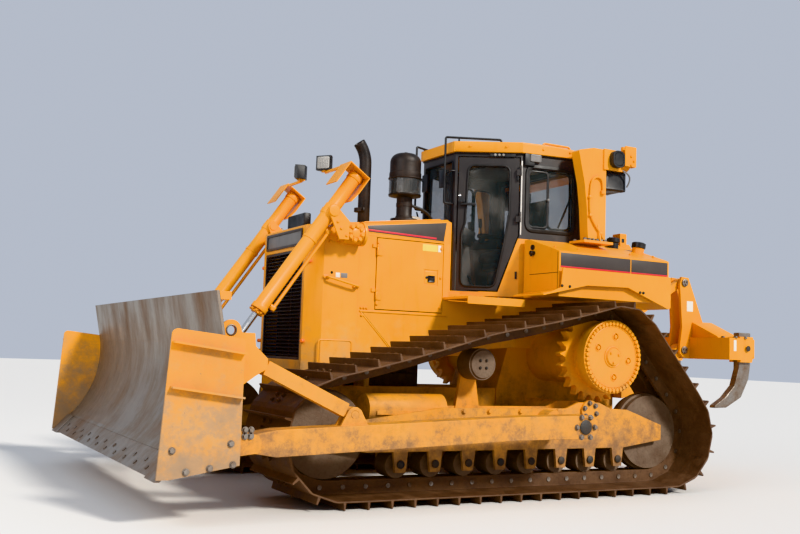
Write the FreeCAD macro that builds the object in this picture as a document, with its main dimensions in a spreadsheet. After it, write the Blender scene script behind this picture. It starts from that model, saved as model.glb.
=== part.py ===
import FreeCAD, Part
import math
import os
import re
import Sketcher

# A crawler bulldozer with raised drive sprockets, wide track shoes, an outside-mounted blade and a ripper.
# +X is to the front, +Y to the left, +Z up, and Z 0 is at the grouser tips.
# Lengths are in millimetres and angles in degrees.

dimensions = {
    # undercarriage
    "trackGauge": 2286, "shoeWidth": 915, "shoeCount": 48, "shoePlate": 14, "shoeGap": 6,
    "grouserHeight": 57, "grouserTip": 14, "grouserRoot": 26, "grouserPlace": 62,
    "linkAbove": 48, "linkBelow": 62, "railThick": 42, "railInner": 46, "bushingRadius": 31, "linkEnd": 32,
    "sprocketX": -130, "sprocketZ": 1243, "sprocketTeeth": 25, "pinsPerTurn": 12.5, "drivePitch": 408.1,
    "toothHeight": 26, "toothWidth": 80, "toothClearance": 4, "hubRadius": 335, "hubOut": 262, "hubRim": 300,
    "hubCap": 88, "bossRadius": 30, "bossCircle": 190,
    "idlerTread": 345, "idlerFlange": 20, "idlerWidth": 180, "rearIdlerX": -733, "idlerBore": 60,
    "rollerTread": 105, "rollerFlange": 22, "rollerWidth": 190, "rollerCount": 8, "rollerFirst": -290,
    "rollerPitch": 330, "rollerFlangeWidth": 22,
    "carrierX": 1200, "carrierZ": 1137, "carrierTread": 140, "carrierWidth": 200, "spanSag": 18,
    # track frames
    "frameHalf": 165, "framePlate": 28, "frameTop": 762, "frameLow": 402, "frameFront": 2330,
    "recoilRadius": 128, "recoilX": 1560, "recoilLength": 740, "recoilZ": 742,
    "pivotX": 60, "pivotZ": 742, "pivotRadius": 70, "pivotCover": 96,
    "trunnionX": 550, "trunnionZ": 640, "trunnionRadius": 70, "pinClearance": 1,
    # main frame
    "caseRear": -1000, "caseFront": 300, "caseHalf": 420, "caseLow": 430, "caseTop": 1500,
    "railFront": 2480, "railOuter": 400, "railInnerSide": 300, "railLow": 560, "railTop": 900,
    "noseFront": 2600, "noseTop": 1004, "driveRadius": 262, "deckTop": 1789.7,
    "barX": 1800, "barWidth": 100, "barLow": 620, "barHigh": 760, "frameGap": 6,
    # radiator guard and hood
    "guardFront": 2600, "guardChamfer": 2470, "guardRear": 2135, "guardHalf": 620, "guardNose": 500,
    "guardLow": 1004.3, "guardWall": 20, "guardFloor": 25, "hoodFrontZ": 2312, "hoodRearZ": 2482, "hoodRear": 1180,
    "grilleHalf": 455, "grilleLow": 1120, "grilleHigh": 2100, "louvreCount": 28, "louvreDepth": 34,
    "louvreThick": 6, "louvreTurn": 35, "grilleFrame": 24, "hoodHalf": 610, "hoodBand": 2252, "hoodSheet": 14,
    "hoodCrown": 28, "panelLow": 1105, "panelThick": 14, "ledgeZ": 1568,
    "engineDoorFront": 1955, "engineDoorRear": 1245, "engineDoorLow": 1588, "engineDoorHigh": 2244,
    "doorGap": 8, "engineDoorThick": 20, "knuckleRadius": 11, "engineHingeOut": 15.3, "knuckleLength": 70,
    "engineFront": 2080, "engineRear": 1290, "engineHalf": 270, "engineTop": 1960,
    "stackX": 1895, "stackY": 200, "stackRadius": 57, "stackWall": 4, "stackStraight": 2980, "stackBend": 300,
    "stackTurn": 38, "cleanerX": 1515, "cleanerY": 300, "cleanerRadius": 154, "cleanerNeck": 75,
    "cleanerBase": 130, "cleanerPlate": 2700, "bowlTop": 2862, "domeTop": 3126, "bowlWall": 6,
    # cab
    "cabFloor": 1790, "cabTop": 3205, "cabFront": 960, "cabFrontHalf": 310, "cabPost": 420, "cabPostHalf": 660,
    "cabRear": -300, "cabRearHalf": 760, "cabWall": 45, "roofHigh": 105, "roofOver": 34, "glassThick": 8,
    "doorLow": 1830, "doorHigh": 3170, "doorKnee": 2390, "doorToe": 195, "cabDoorThick": 44,
    "hingeOut": 20, "cowlTop": 2430, "windscreenLow": 2090, "rearWindowLow": 2470, "windowHigh": 3120,
    "glassCorner": 70, "windowCorner": 75,
    # rear body, fenders, roll-over frame
    "bodyRear": -970, "bodyFront": 390, "bodyHalf": 1250, "bodyLow": 1780, "bodyEdge": 2200, "bodyTop": 2345,
    "cabClear": 18, "humpHalf": 600, "humpTop": 2440, "fenderHalf": 1300, "fenderInner": 700, "fenderPlate": 16,
    "platformTop": 1742, "platformHalf": 1040,
    "ropsFront": -188, "ropsRear": -400, "ropsInner": 840, "ropsOuter": 960, "ropsTop": 3296, "ropsBeam": 190,
    "ropsBeamRear": -700, "sideLampX": -500, "sideLampZ": 3205, "sideLampWide": 150, "sideLampDeep": 60,
    "railTube": 11, "railX": 1066, "railY": 286, "railFoot": 2690, "railRise": 35, "railRearX": 560, "railRearY": 512,
    "handleTube": 10, "handleFront": 115, "handleRear": -225, "handleY": 600,
    # blade
    "armInner": 1665, "armOuter": 1860, "armPinX": 3520, "armPinZ": 540, "armPinRadius": 40,
    "bladeOver": 125, "moldSheet": 22, "edgeTopX": 4060, "edgeTopZ": 470, "curveTopX": 3800, "curveTopZ": 1240,
    "curveRadius": 900, "bladeTopX": 3868, "bladeTopZ": 1590, "edgeTipX": 4206, "edgeTipZ": 322,
    "backX": 3650, "endPlate": 20, "endRib": 62, "liftY": 715, "liftPinX": 3458, "liftPinZ": 1000,
    "braceY": 1762, "braceTopX": 3485, "braceTopZ": 1105, "braceLowX": 2700, "braceLowZ": 740,
    "earX": 3700, "earZ": 1327, "earRadius": 74, "earHole": 31,
    # blade lift cylinders
    "yokeX": 2478, "yokeZ": 2410, "barrelRadius": 62, "barrelBore": 45, "barrelBack": 425, "barrelAhead": 1080,
    "rodRadius": 28, "rodReach": 1500, "eyeRadius": 56, "eyeWidth": 76, "eyeBore": 32, "yokeCheek": 20,
    "yokePin": 34, "cheekInner": 74, "pipeRadius": 15, "pipeBelow": 98,
    "guardSide": 108, "guardTop": 145, "guardBelow": 88, "guardSheet": 8, "guardEnd": 445,
    "lampX": 2345, "lampY": 285, "lampBase": 2851, "lampWide": 150, "lampHigh": 134, "lampDeep": 90, "lampTurn": 37,
    # ripper
    "towerX": -1900, "towerLowZ": 1352, "towerHighZ": 2088, "linkFrontX": -1205, "linkFrontLowZ": 944,
    "towerY": 445, "towerGap": 112, "towerPlate": 30, "linkPin": 36, "beamFront": -1980, "beamRear": -2180,
    "beamLow": 1262, "beamHigh": 1492, "beamHalf": 1100, "shankY": 1005, "shankThick": 75,
    "ripperHeadX": -1160, "ripperHeadZ": 1800, "ripperRodAlong": 470, "crossAlong": 161, "ripperBarrel": 62,
    "ripperBarrelEnd": 690, "ripperY": 215,
    "lugPlate": 28,
}

doc = FreeCAD.newDocument("Bulldozer")
sheet = doc.addObject("Spreadsheet::Sheet", "Dims")
for row, (alias, number) in enumerate(dimensions.items(), start=1):
    sheet.set(f"A{row}", alias)
    sheet.set(f"B{row}", str(number))
    sheet.setAlias(f"B{row}", alias)
doc.recompute()


def bound(text):
    """Writes the sheet's name before each alias in an expression."""
    def full(word):
        return "Dims." + word.group() if word.group() in dimensions else word.group()
    return re.sub(r"[A-Za-z]\w*", full, str(text))


def value(text):
    """Gives an expression's number now."""
    return float(sheet.evalExpression(bound(text)))


def bind(item, prop, text):
    item.setExpression(prop, bound(text))


def put(item, x="0", y="0", z="0", axis=None, angle=0):
    """Places an item, turned first about an axis through its own origin."""
    turn = FreeCAD.Rotation(FreeCAD.Vector(*axis), angle) if axis else FreeCAD.Rotation()
    item.Placement = FreeCAD.Placement(FreeCAD.Vector(value(x), value(y), value(z)), turn)
    for letter, text in zip("xyz", (x, y, z)):
        bind(item, f"Placement.Base.{letter}", text)
    return item


def fix_point(sketch, line, end, x, y):
    """Holds a line's end at its two distances from the sketch's origin."""
    for kind, text in (("DistanceX", x), ("DistanceY", y)):
        number = sketch.addConstraint(Sketcher.Constraint(kind, -1, 1, line, end, value(text)))
        bind(sketch, f"Constraints[{number}]", text)


def draw_circle(sketch, x, y, radius):
    centre = FreeCAD.Vector(value(x), value(y), 0)
    circle = sketch.addGeometry(Part.Circle(centre, FreeCAD.Vector(0, 0, 1), value(radius)), False)
    fix_point(sketch, circle, 3, x, y)
    number = sketch.addConstraint(Sketcher.Constraint("Radius", circle, value(radius)))
    bind(sketch, f"Constraints[{number}]", radius)


def draw_outline(sketch, points):
    """Draws a closed outline. A point is (x, y), or (x, y, radius) where an arc runs on to the next point:
    a positive radius turns left on the way, a negative one right."""
    spots = [FreeCAD.Vector(value(point[0]), value(point[1]), 0) for point in points]
    edges = []
    for number, point in enumerate(points):
        begin, finish = spots[number], spots[(number + 1) % len(spots)]
        if len(point) == 2:
            edges.append((sketch.addGeometry(Part.LineSegment(begin, finish), False), 1, 2))
            continue
        radius = value(point[2])
        chord = finish - begin
        side = FreeCAD.Vector(-chord.y, chord.x, 0).normalize() * math.copysign(1, radius)
        rise = math.sqrt(radius * radius - chord.Length ** 2 / 4)
        centre = (begin + finish) * 0.5 + side * rise
        middle = centre - side * abs(radius)
        arc = sketch.addGeometry(Part.Arc(begin, middle, finish), False)
        edges.append((arc, 1, 2) if radius > 0 else (arc, 2, 1))
        constraint = sketch.addConstraint(Sketcher.Constraint("Radius", arc, abs(radius)))
        bind(sketch, f"Constraints[{constraint}]", f"abs({point[2]})")
    for number, (edge, begin, _) in enumerate(edges):
        before, _, finish = edges[number - 1]
        sketch.addConstraint(Sketcher.Constraint("Coincident", before, finish, edge, begin))
        fix_point(sketch, edge, begin, points[number][0], points[number][1])


def rounded(points, radius):
    """A closed outline with an arc of one radius at each corner."""
    spots = [FreeCAD.Vector(value(x), value(y), 0) for x, y in points]
    outline = []
    for number, corner in enumerate(spots):
        to_last = (spots[number - 1] - corner).normalize()
        to_next = (spots[(number + 1) % len(spots)] - corner).normalize()
        reach = value(radius) / math.tan(to_last.getAngle(to_next) / 2)
        turn = math.copysign(value(radius), to_next.cross(to_last).z)
        begin, finish = corner + to_last * reach, corner + to_next * reach
        outline += [(f"{begin.x:.4f}", f"{begin.y:.4f}", f"{turn:.4f}"), (f"{finish.x:.4f}", f"{finish.y:.4f}")]
    return outline


def add_sketch(body, role, low, high, loops):
    """Adds a sketch of loops on one of the body's own planes, at the side that a pad starts from."""
    sketch = body.newObject("Sketcher::SketchObject", "Outline")
    face = next(item for item in body.Origin.OriginFeatures if item.Role == role)
    sketch.AttachmentSupport = [(face, "")]
    sketch.MapMode = "FlatFace"
    bind(sketch, "AttachmentOffset.Base.z", f"-({high})" if role == "XZ_Plane" else low)
    for loop in loops:
        if loop[0] == "circle":
            draw_circle(sketch, *loop[1:])
        else:
            draw_outline(sketch, loop)
    return sketch


def plate(label, role, low, high, *loops):
    """A body padded between low and high across a plane: along Z on XY, along Y on XZ, along X on YZ."""
    body = doc.addObject("PartDesign::Body", label)
    feature = body.newObject("PartDesign::Pad", "Pad")
    feature.Profile = add_sketch(body, role, low, high, loops)
    body.Tip = feature
    bind(feature, "Length", f"({high}) - ({low})")
    return body


def cut_in(body, role, low, high, *loops):
    """Cuts loops out of a body between low and high across a plane."""
    sketch = add_sketch(body, role, low, high, loops)
    feature = body.newObject("PartDesign::Pocket", "Pocket")
    feature.Profile = sketch
    feature.Reversed = True
    bind(feature, "Length", f"({high}) - ({low})")
    return body


def turned(label, role, axis, *loops):
    """A body turned about an axis of its sketch: H_Axis or V_Axis."""
    body = doc.addObject("PartDesign::Body", label)
    sketch = add_sketch(body, role, "0", "0", loops)
    feature = body.newObject("PartDesign::Revolution", "Revolution")
    feature.Profile = sketch
    feature.ReferenceAxis = (sketch, [axis])
    feature.Angle = 360
    return body


def box(x_low, x_high, y_low, y_high, z_low, z_high):
    item = doc.addObject("Part::Box", "Block")
    bind(item, "Length", f"({x_high}) - ({x_low})")
    bind(item, "Width", f"({y_high}) - ({y_low})")
    bind(item, "Height", f"({z_high}) - ({z_low})")
    return put(item, x_low, y_low, z_low)


def rod(radius, start, length, direction):
    """A cylinder from a start point along an axis of the frame."""
    item = doc.addObject("Part::Cylinder", "Round")
    bind(item, "Radius", radius)
    bind(item, "Height", length)
    turns = {"x": ((0, 1, 0), 90), "y": ((1, 0, 0), -90), "z": (None, 0)}
    return put(item, *start, *turns[direction])


def fused(label, *items):
    item = doc.addObject("Part::MultiFuse", label)
    item.Shapes = list(items)
    return item


def group(label, *items):
    """Separate solids that share a node."""
    item = doc.addObject("Part::Compound", label)
    item.Links = list(items)
    return item


def cut(label, base, *tools):
    item = doc.addObject("Part::Cut", label)
    item.Base = base
    item.Tool = tools[0] if len(tools) == 1 else fused(label + "_tools", *tools)
    return item


def mirrored(label, source):
    """The same piece on the right-hand side."""
    item = doc.addObject("Part::Mirroring", label)
    item.Source = source
    item.Base = FreeCAD.Vector(0, 0, 0)
    item.Normal = FreeCAD.Vector(0, 1, 0)
    return item


def both_sides(label, source):
    return group(label, source, mirrored(label + "_other", source))


def set_shape(label, shape):
    item = doc.addObject("Part::Feature", label)
    item.Shape = shape
    item.Placement = FreeCAD.Placement()
    return item


def bent_path(points, bend):
    """A wire through points, with an arc of one radius in place of each corner."""
    spots = [FreeCAD.Vector(*[value(number) for number in point]) for point in points]
    edges, begin = [], spots[0]
    for last, corner, following in zip(spots, spots[1:], spots[2:]):
        to_last, to_next = (last - corner).normalize(), (following - corner).normalize()
        half = to_last.getAngle(to_next) / 2
        inward = (to_last + to_next).normalize()
        first, second = corner + to_last * (bend / math.tan(half)), corner + to_next * (bend / math.tan(half))
        middle = corner + inward * (bend / math.sin(half) - bend)
        edges += [Part.LineSegment(begin, first).toShape(), Part.Arc(first, middle, second).toShape()]
        begin = second
    edges.append(Part.LineSegment(begin, spots[-1]).toShape())
    return Part.Wire(edges)


def tube(path, radius, wall=0):
    """A round bar along a path, or a pipe where it has a wall."""
    begin, ahead = path.Edges[0].valueAt(path.Edges[0].FirstParameter), path.Edges[0].tangentAt(path.Edges[0].FirstParameter)

    def swept(size):
        ring = Part.Wire([Part.Circle(begin, ahead, size).toShape()])
        return path.makePipeShell([ring], True, True)
    return swept(radius).cut(swept(radius - wall)) if wall else swept(radius)


nodes = {}


def node(label, item):
    """Names a finished piece: its label is its file's name."""
    item.Label = label
    nodes[label] = item
    return item


# Track: a belt of pins round four wheels, with a shoe from each pin to the next.

def polar(centre, radius, angle):
    return (centre[0] + radius * math.cos(angle), centre[1] + radius * math.sin(angle))


def pin_radius(tread):
    """Radius of the pins on a wheel whose tread the middle of each straight link touches."""
    return math.hypot(tread + value("linkBelow"), drive_step() / 2)


def drive_step():
    """Length of belt between two pins on the sprocket."""
    return 2 * math.pi * value("drivePitch") / value("pinsPerTurn")


def idler_z():
    return pin_radius(value("idlerTread")) + value("linkAbove + shoePlate + grouserHeight")


def belt_wheels(front_x):
    """Centre and pin radius of each wheel, in the order that the belt runs over them."""
    idler = pin_radius(value("idlerTread"))
    return [
        ((value("sprocketX"), value("sprocketZ")), value("drivePitch")),
        ((value("carrierX"), value("carrierZ")), pin_radius(value("carrierTread"))),
        ((front_x, idler_z()), idler),
        ((value("rearIdlerX"), idler_z()), idler),
    ]


def belt_line(front_x):
    """The pins' line as a closed list of close points, from the top of the sprocket round to the front."""
    wheels = belt_wheels(front_x)
    normals = []
    for number, (centre, radius) in enumerate(wheels):
        following, next_radius = wheels[(number + 1) % len(wheels)]
        across, rise = following[0] - centre[0], following[1] - centre[1]
        lean = math.acos((radius - next_radius) / math.hypot(across, rise))
        normals.append(math.atan2(rise, across) + lean)
    points = []
    for number, (centre, radius) in enumerate(wheels):
        arrive, leave = normals[number - 1], normals[number]
        sweep = (arrive - leave) % (2 * math.pi)
        steps = max(2, round(sweep * radius / 8))
        points += [polar(centre, radius, arrive - sweep * step / steps) for step in range(steps + 1)]
        following, next_radius = wheels[(number + 1) % len(wheels)]
        begin, finish = points[-1], polar(following, next_radius, leave)
        sag = value("spanSag") if number < 2 else 0
        steps = 60
        for step in range(1, steps):
            part = step / steps
            drop = 4 * sag * part * (1 - part)
            points.append((begin[0] + (finish[0] - begin[0]) * part,
                           begin[1] + (finish[1] - begin[1]) * part - drop))
    return points


def belt_length(points):
    return sum(math.dist(points[number - 1], points[number]) for number in range(len(points)))


def take_up():
    """Place of the front idler at which the belt closes on a whole number of shoes."""
    wanted = value("shoeCount") * drive_step()
    low, high = value("rearIdlerX") + 2 * value("idlerTread") + 200, value("rearIdlerX") + 9000
    for _ in range(40):
        middle = (low + high) / 2
        if belt_length(belt_line(middle)) < wanted:
            low = middle
        else:
            high = middle
    return low


def belt_pins(points):
    """Equally spaced pins along the belt, the first where the belt meets the sprocket."""
    count = round(value("shoeCount"))
    step = belt_length(points) / count
    pins, travelled = [points[0]], 0
    for number in range(1, len(points) + 1):
        begin, finish = points[number - 1], points[number % len(points)]
        span = math.dist(begin, finish)
        while travelled + span >= len(pins) * step and len(pins) < count:
            part = (len(pins) * step - travelled) / span
            pins.append((begin[0] + (finish[0] - begin[0]) * part, begin[1] + (finish[1] - begin[1]) * part))
        travelled += span
    return pins


def along_shoes(pins, profile):
    """Points of a profile of (distance along, height above the pins' line), repeated on every shoe."""
    outline = []
    for number, pin in enumerate(pins):
        following = pins[(number + 1) % len(pins)]
        span = math.dist(pin, following)
        ahead = ((following[0] - pin[0]) / span, (following[1] - pin[1]) / span)
        for part, height in profile(span):
            outline.append((pin[0] + ahead[0] * part - ahead[1] * height,
                            pin[1] + ahead[1] * part + ahead[0] * height))
    return outline


def prism(outline, y_low, y_high, holes=()):
    """A solid with an outline in the XZ plane between two sides."""
    def wire(points):
        corners = [FreeCAD.Vector(x, y_low, z) for x, z in points]
        return Part.makePolygon(corners + corners[:1])
    face = Part.Face(wire(outline))
    for hole in holes:
        face = face.cut(Part.Face(wire(hole)))
    return face.extrude(FreeCAD.Vector(0, y_high - y_low, 0))


front_idler_x = take_up()
pins = belt_pins(belt_line(front_idler_x))


def shoe_outside(span):
    gap, top, tip = value("shoeGap"), value("linkAbove + shoePlate"), value("linkAbove + shoePlate + grouserHeight")
    place, root, crest = value("grouserPlace"), value("grouserRoot / 2"), value("grouserTip / 2")
    return [(gap, top), (place - root, top), (place - crest, tip), (place + crest, tip), (place + root, top),
            (span - gap, top)]


def shoe_inside(_):
    return [(0, value("linkAbove"))]


def link_outside(_):
    return [(0, value("linkAbove + shoePlate / 2"))]


def link_inside(span):
    end = value("linkEnd")
    return [(end, -value("linkBelow")), (span - end, -value("linkBelow"))]


def track_shape(side):
    """Shoes, two rails of links and the bushings that show between them, as one closed loop."""
    middle = side * value("trackGauge / 2")
    half = value("shoeWidth / 2")
    loop = prism(along_shoes(pins, shoe_outside), middle - half, middle + half, [along_shoes(pins, shoe_inside)])
    rails = []
    near, thick = value("railInner"), value("railThick")
    for low in (middle + near, middle - near - thick):
        rails.append(prism(along_shoes(pins, link_outside), low, low + thick, [along_shoes(pins, link_inside)]))
    for pin in pins:
        if pin[1] > idler_z():
            corners = [polar(pin, value("bushingRadius"), math.pi / 2 * step) for step in range(4)]
            rails.append(prism(corners, middle - near - 1, middle + near + 1))
    return loop.multiFuse(rails).removeSplitter()


node("track_left", set_shape("track_left", track_shape(1)))
node("track_right", set_shape("track_right", track_shape(-1)))


# Sprocket: a tooth in each gap between half pitches, then the hub and its bolted cover outside.

def sprocket_outline():
    centre = (value("sprocketX"), value("sprocketZ"))
    root = value("drivePitch - bushingRadius - toothClearance")
    tip = value("drivePitch + toothHeight")
    step = 2 * math.pi / value("sprocketTeeth")
    first = math.atan2(pins[0][1] - centre[1], pins[0][0] - centre[0])
    outline = []
    for number in range(round(value("sprocketTeeth"))):
        seat = first + number * step
        for part, radius in ((-0.17, root), (0.17, root), (0.37, value("drivePitch")), (0.45, tip),
                             (0.55, tip), (0.63, value("drivePitch"))):
            outline.append(polar(centre, radius, seat + part * step))
    return outline


def hub_profile():
    """Section of the hub as (distance out from the track's middle, radius)."""
    return [("toothWidth / 2", "0"), ("toothWidth / 2", "hubRim - 20"), ("hubOut - 120", "hubRim - 20"),
            ("hubOut - 105", "hubRadius"), ("hubOut - 14", "hubRadius"), ("hubOut", "hubRadius - 12"),
            ("hubOut", "hubCap"), ("hubOut + 26", "hubCap - 12"), ("hubOut + 26", "0")]


teeth_ring = set_shape("sprocket_teeth", prism(sprocket_outline(), value("trackGauge / 2 - toothWidth / 2"),
                                               value("trackGauge / 2 + toothWidth / 2")))
hub = put(turned("sprocket_hub", "YZ_Plane", "H_Axis", hub_profile()), "sprocketX", "trackGauge / 2", "sprocketZ")
recesses = []
for angle in (25, 100, 190, 265):
    across, rise = math.cos(math.radians(angle)), math.sin(math.radians(angle))
    start = (f"sprocketX + bossCircle * {across:.6f}", "trackGauge / 2 + hubOut - 18",
             f"sprocketZ + bossCircle * {rise:.6f}")
    recesses.append(rod("bossRadius", start, "30", "y"))
sprocket = cut("sprocket_one", fused("sprocket_solid", teeth_ring, hub), *recesses)
node("sprockets", both_sides("sprockets", sprocket))


# Idlers, rollers and carrier rollers.

def wheel(tread, flange, flange_width, width, bore, x, z):
    half = f"({width}) / 2"
    profile = [(f"-{half}", bore), (f"-{half}", tread), (f"-({flange_width}) / 2", tread),
               (f"-({flange_width}) / 2 + 4", f"{tread} + {flange}"), (f"({flange_width}) / 2 - 4", f"{tread} + {flange}"),
               (f"({flange_width}) / 2", tread), (half, tread), (half, bore)]
    return put(turned("wheel", "YZ_Plane", "H_Axis", profile), x, "trackGauge / 2", z)


def roller(x, z, tread, width):
    """A roller with a flange at each end of its tread and a short shaft."""
    half, shaft = f"({width}) / 2", "(frameHalf - framePlate - 0.3)"
    profile = [(f"-{shaft}", "0"), (f"-{shaft}", "38"), (f"-{half}", "38"), (f"-{half}", tread),
               (half, tread), (half, "38"), (shaft, "38"), (shaft, "0")]
    return put(turned("roller", "YZ_Plane", "H_Axis", profile), x, "trackGauge / 2", z)


idler_height = f"{idler_z():.4f}"
wheels = [wheel("idlerTread", "idlerFlange", "(railInner - 6) * 2", "idlerWidth", "idlerBore", place, idler_height)
          for place in (f"{front_idler_x:.4f}", "rearIdlerX")]
roller_height = "linkAbove + shoePlate + grouserHeight + linkBelow + rollerTread + 0.3"
for number in range(round(value("rollerCount"))):
    wheels.append(roller(f"rollerFirst + rollerPitch * {number}", roller_height, "rollerTread", "rollerWidth"))
carrier_profile = [("-(frameHalf - 40.3)", "0"), ("-(frameHalf - 40.3)", "60"), ("-carrierWidth / 2", "60"),
                   ("-carrierWidth / 2", "carrierTread - 1"), ("carrierWidth / 2", "carrierTread - 1"), ("carrierWidth / 2", "carrierTread - 12"),
                   ("carrierWidth / 2 + 16", "carrierTread - 20"), ("carrierWidth / 2 + 16", "0")]
wheels.append(put(turned("carrier", "YZ_Plane", "H_Axis", carrier_profile), "carrierX", "trackGauge / 2", "carrierZ"))
one_side = group("wheels_one_side", *wheels)
node("track_wheels", both_sides("track_wheels", one_side))


# Track frames: two side plates with a cover, the recoil housing, roller and idler shafts, and the trunnion.

idler_x = f"{front_idler_x:.4f}"
frame_side = [("rearIdlerX - 95", f"{idler_height} - 70"), ("rearIdlerX - 95", f"{idler_height} + 70"),
              ("rearIdlerX + 330", "frameTop - 10"), ("pivotX - 260", "frameTop"), ("pivotX - 120", "frameTop + 55"),
              ("pivotX + 120", "frameTop + 55"), ("pivotX + 260", "frameTop"), ("frameFront - 700", "frameTop"),
              (f"{idler_x} + 95", f"{idler_height} + 70"), (f"{idler_x} + 95", f"{idler_height} - 70"),
              ("frameFront", "frameLow"), ("rollerFirst - 60", "frameLow")]
frame_pieces = []
for low in ("trackGauge / 2 + frameHalf - framePlate", "trackGauge / 2 - frameHalf"):
    frame_pieces.append(plate("frame_side", "XZ_Plane", low, f"{low} + framePlate", frame_side))
inside = ("trackGauge / 2 - frameHalf + framePlate", "trackGauge / 2 + frameHalf - framePlate")
frame_pieces.append(box("rearIdlerX + idlerTread + 90", f"{idler_x} - idlerTread - 90", *inside, "frameTop - 60",
                        "frameTop - 25"))
frame_pieces.append(rod("recoilRadius", ("recoilX", "trackGauge / 2", "recoilZ"), "recoilLength", "x"))
frame_pieces.append(rod("pivotCover", ("pivotX", "trackGauge / 2 + frameHalf - 5", "pivotZ"), "30", "y"))
frame_pieces.append(rod("trunnionRadius", ("trunnionX", "trackGauge / 2 + frameHalf - 5", "trunnionZ"),
                        "armOuter - trackGauge / 2 - frameHalf + 5", "y"))
frame_pieces.append(rod("trunnionRadius + 45", ("trunnionX", "trackGauge / 2 + frameHalf - 5", "trunnionZ"),
                        "150", "y"))
for place in (f"{idler_x}", "rearIdlerX"):
    frame_pieces.append(rod("idlerBore - 2", (place, "trackGauge / 2 - frameHalf + 2", idler_height),
                            "frameHalf * 2 - 4", "y"))
for number in range(round(value("rollerCount"))):
    place = f"rollerFirst + rollerPitch * {number}"
    for low in ("trackGauge / 2 - frameHalf", "trackGauge / 2 + frameHalf - framePlate"):
        hanger = [(f"{place} - 70", "frameLow + 5"), (f"{place} - 48", f"{roller_height} - 52"),
                  (f"{place} + 48", f"{roller_height} - 52"), (f"{place} + 70", "frameLow + 5")]
        frame_pieces.append(plate("roller_hanger", "XZ_Plane", low, f"{low} + framePlate", hanger))
carrier_post = [("carrierX - 130", "frameTop - 40"), ("carrierX - 50", "carrierZ + 45"), ("carrierX + 50", "carrierZ + 45"),
                ("carrierX + 130", "frameTop - 40")]
frame_pieces.append(plate("carrier_post", "XZ_Plane", "trackGauge / 2 - frameHalf", "trackGauge / 2 - frameHalf + 40",
                          carrier_post))
frame_one = cut("track_frame_one", fused("track_frame_solid", *frame_pieces),
                rod("44", ("recoilX - 40", "trackGauge / 2", "recoilZ"), "10", "x"))
node("track_frames", both_sides("track_frames", frame_one))


# Main frame: the transmission case, two rails, the nose, the pivot shaft, the equalizer bar and the drive housings.

def across_machine(radius, x, z, half):
    return rod(radius, (x, f"-({half})", z), f"({half}) * 2", "y")


case_side = [("caseRear", "caseLow + 120"), ("caseRear", "caseTop - 60"), ("caseRear + 60", "caseTop"),
             ("caseFront", "caseTop"), ("caseFront + 180", "railTop"), ("caseFront + 180", "railLow"),
             ("caseFront", "caseLow"), ("caseRear + 160", "caseLow")]
main_frame = fused(
    "main_frame",
    plate("case", "XZ_Plane", "-caseHalf", "caseHalf", case_side),
    box("caseFront", "railFront", "railInnerSide", "railOuter", "railLow", "railTop"),
    box("caseFront", "railFront", "-railOuter", "-railInnerSide", "railLow", "railTop"),
    box("caseFront", "railFront", "-railInnerSide", "railInnerSide", "railLow", "railLow + 25"),
    box("railFront - 10", "noseFront", "-caseHalf", "caseHalf", "railLow", "noseTop"),
    box("guardRear", "railFront", "-railOuter", "railOuter", "railTop - 30", "noseTop"),
    box("barX - barWidth / 2", "barX + barWidth / 2", "-(trackGauge / 2 - frameHalf - frameGap)",
        "trackGauge / 2 - frameHalf - frameGap", "barLow", "barHigh"),
    across_machine("pivotRadius", "pivotX", "pivotZ", "trackGauge / 2 - frameHalf - 0.3"),
    across_machine("driveRadius", "sprocketX", "sprocketZ", "trackGauge / 2 - toothWidth / 2 - 0.3"),
    box("-300", "cabFront - 40", "-480", "480", "caseTop - 200", "deckTop"),
    box("cabFront - 60", "hoodRear", "-480", "480", "railTop + 300", "deckTop"),
)
node("main_frame", main_frame)

node("engine_block", fused("engine_block",
                           box("engineRear", "engineFront", "-engineHalf", "engineHalf", "railTop + 0.3", "engineTop"),
                           box("engineRear + 60", "engineFront - 60", "-engineHalf - 60", "engineHalf + 60",
                               "railTop + 0.3", "railTop + 120")))


# Radiator guard: a chamfered box open to the rear, with the grille opening in front.

guard_plan = [("guardRear", "guardHalf"), ("guardRear", "-guardHalf"), ("guardChamfer", "-guardHalf"),
              ("guardFront", "-guardNose"), ("guardFront", "guardNose"), ("guardChamfer", "guardHalf")]
guard = plate("radiator_guard", "XY_Plane", "guardLow", "hoodRearZ + 100", guard_plan)
slope_top = [("guardRear - 40", "hoodFrontZ + (hoodRearZ - hoodFrontZ) * 0.325"), ("guardFront + 60", "hoodFrontZ - 8"),
             ("guardFront + 60", "hoodRearZ + 150"), ("guardRear - 40", "hoodRearZ + 150")]
cut_in(guard, "XZ_Plane", "-guardHalf - 50", "guardHalf + 50", slope_top)
guard_inside = [("guardRear - 30", "guardHalf - guardWall"), ("guardRear - 30", "-(guardHalf - guardWall)"),
                ("guardChamfer - 8", "-(guardHalf - guardWall)"), ("guardFront - guardWall", "-(guardNose - 8)"),
                ("guardFront - guardWall", "guardNose - 8"), ("guardChamfer - 8", "guardHalf - guardWall")]
cut_in(guard, "XY_Plane", "guardLow + guardFloor", "hoodFrontZ - 45", guard_inside)
grille_hole = [("-grilleHalf", "grilleLow"), ("grilleHalf", "grilleLow"), ("grilleHalf", "grilleHigh"),
               ("-grilleHalf", "grilleHigh")]
cut_in(guard, "YZ_Plane", "guardFront - 60", "guardFront + 30", grille_hole)
node("radiator_guard", guard)

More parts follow.
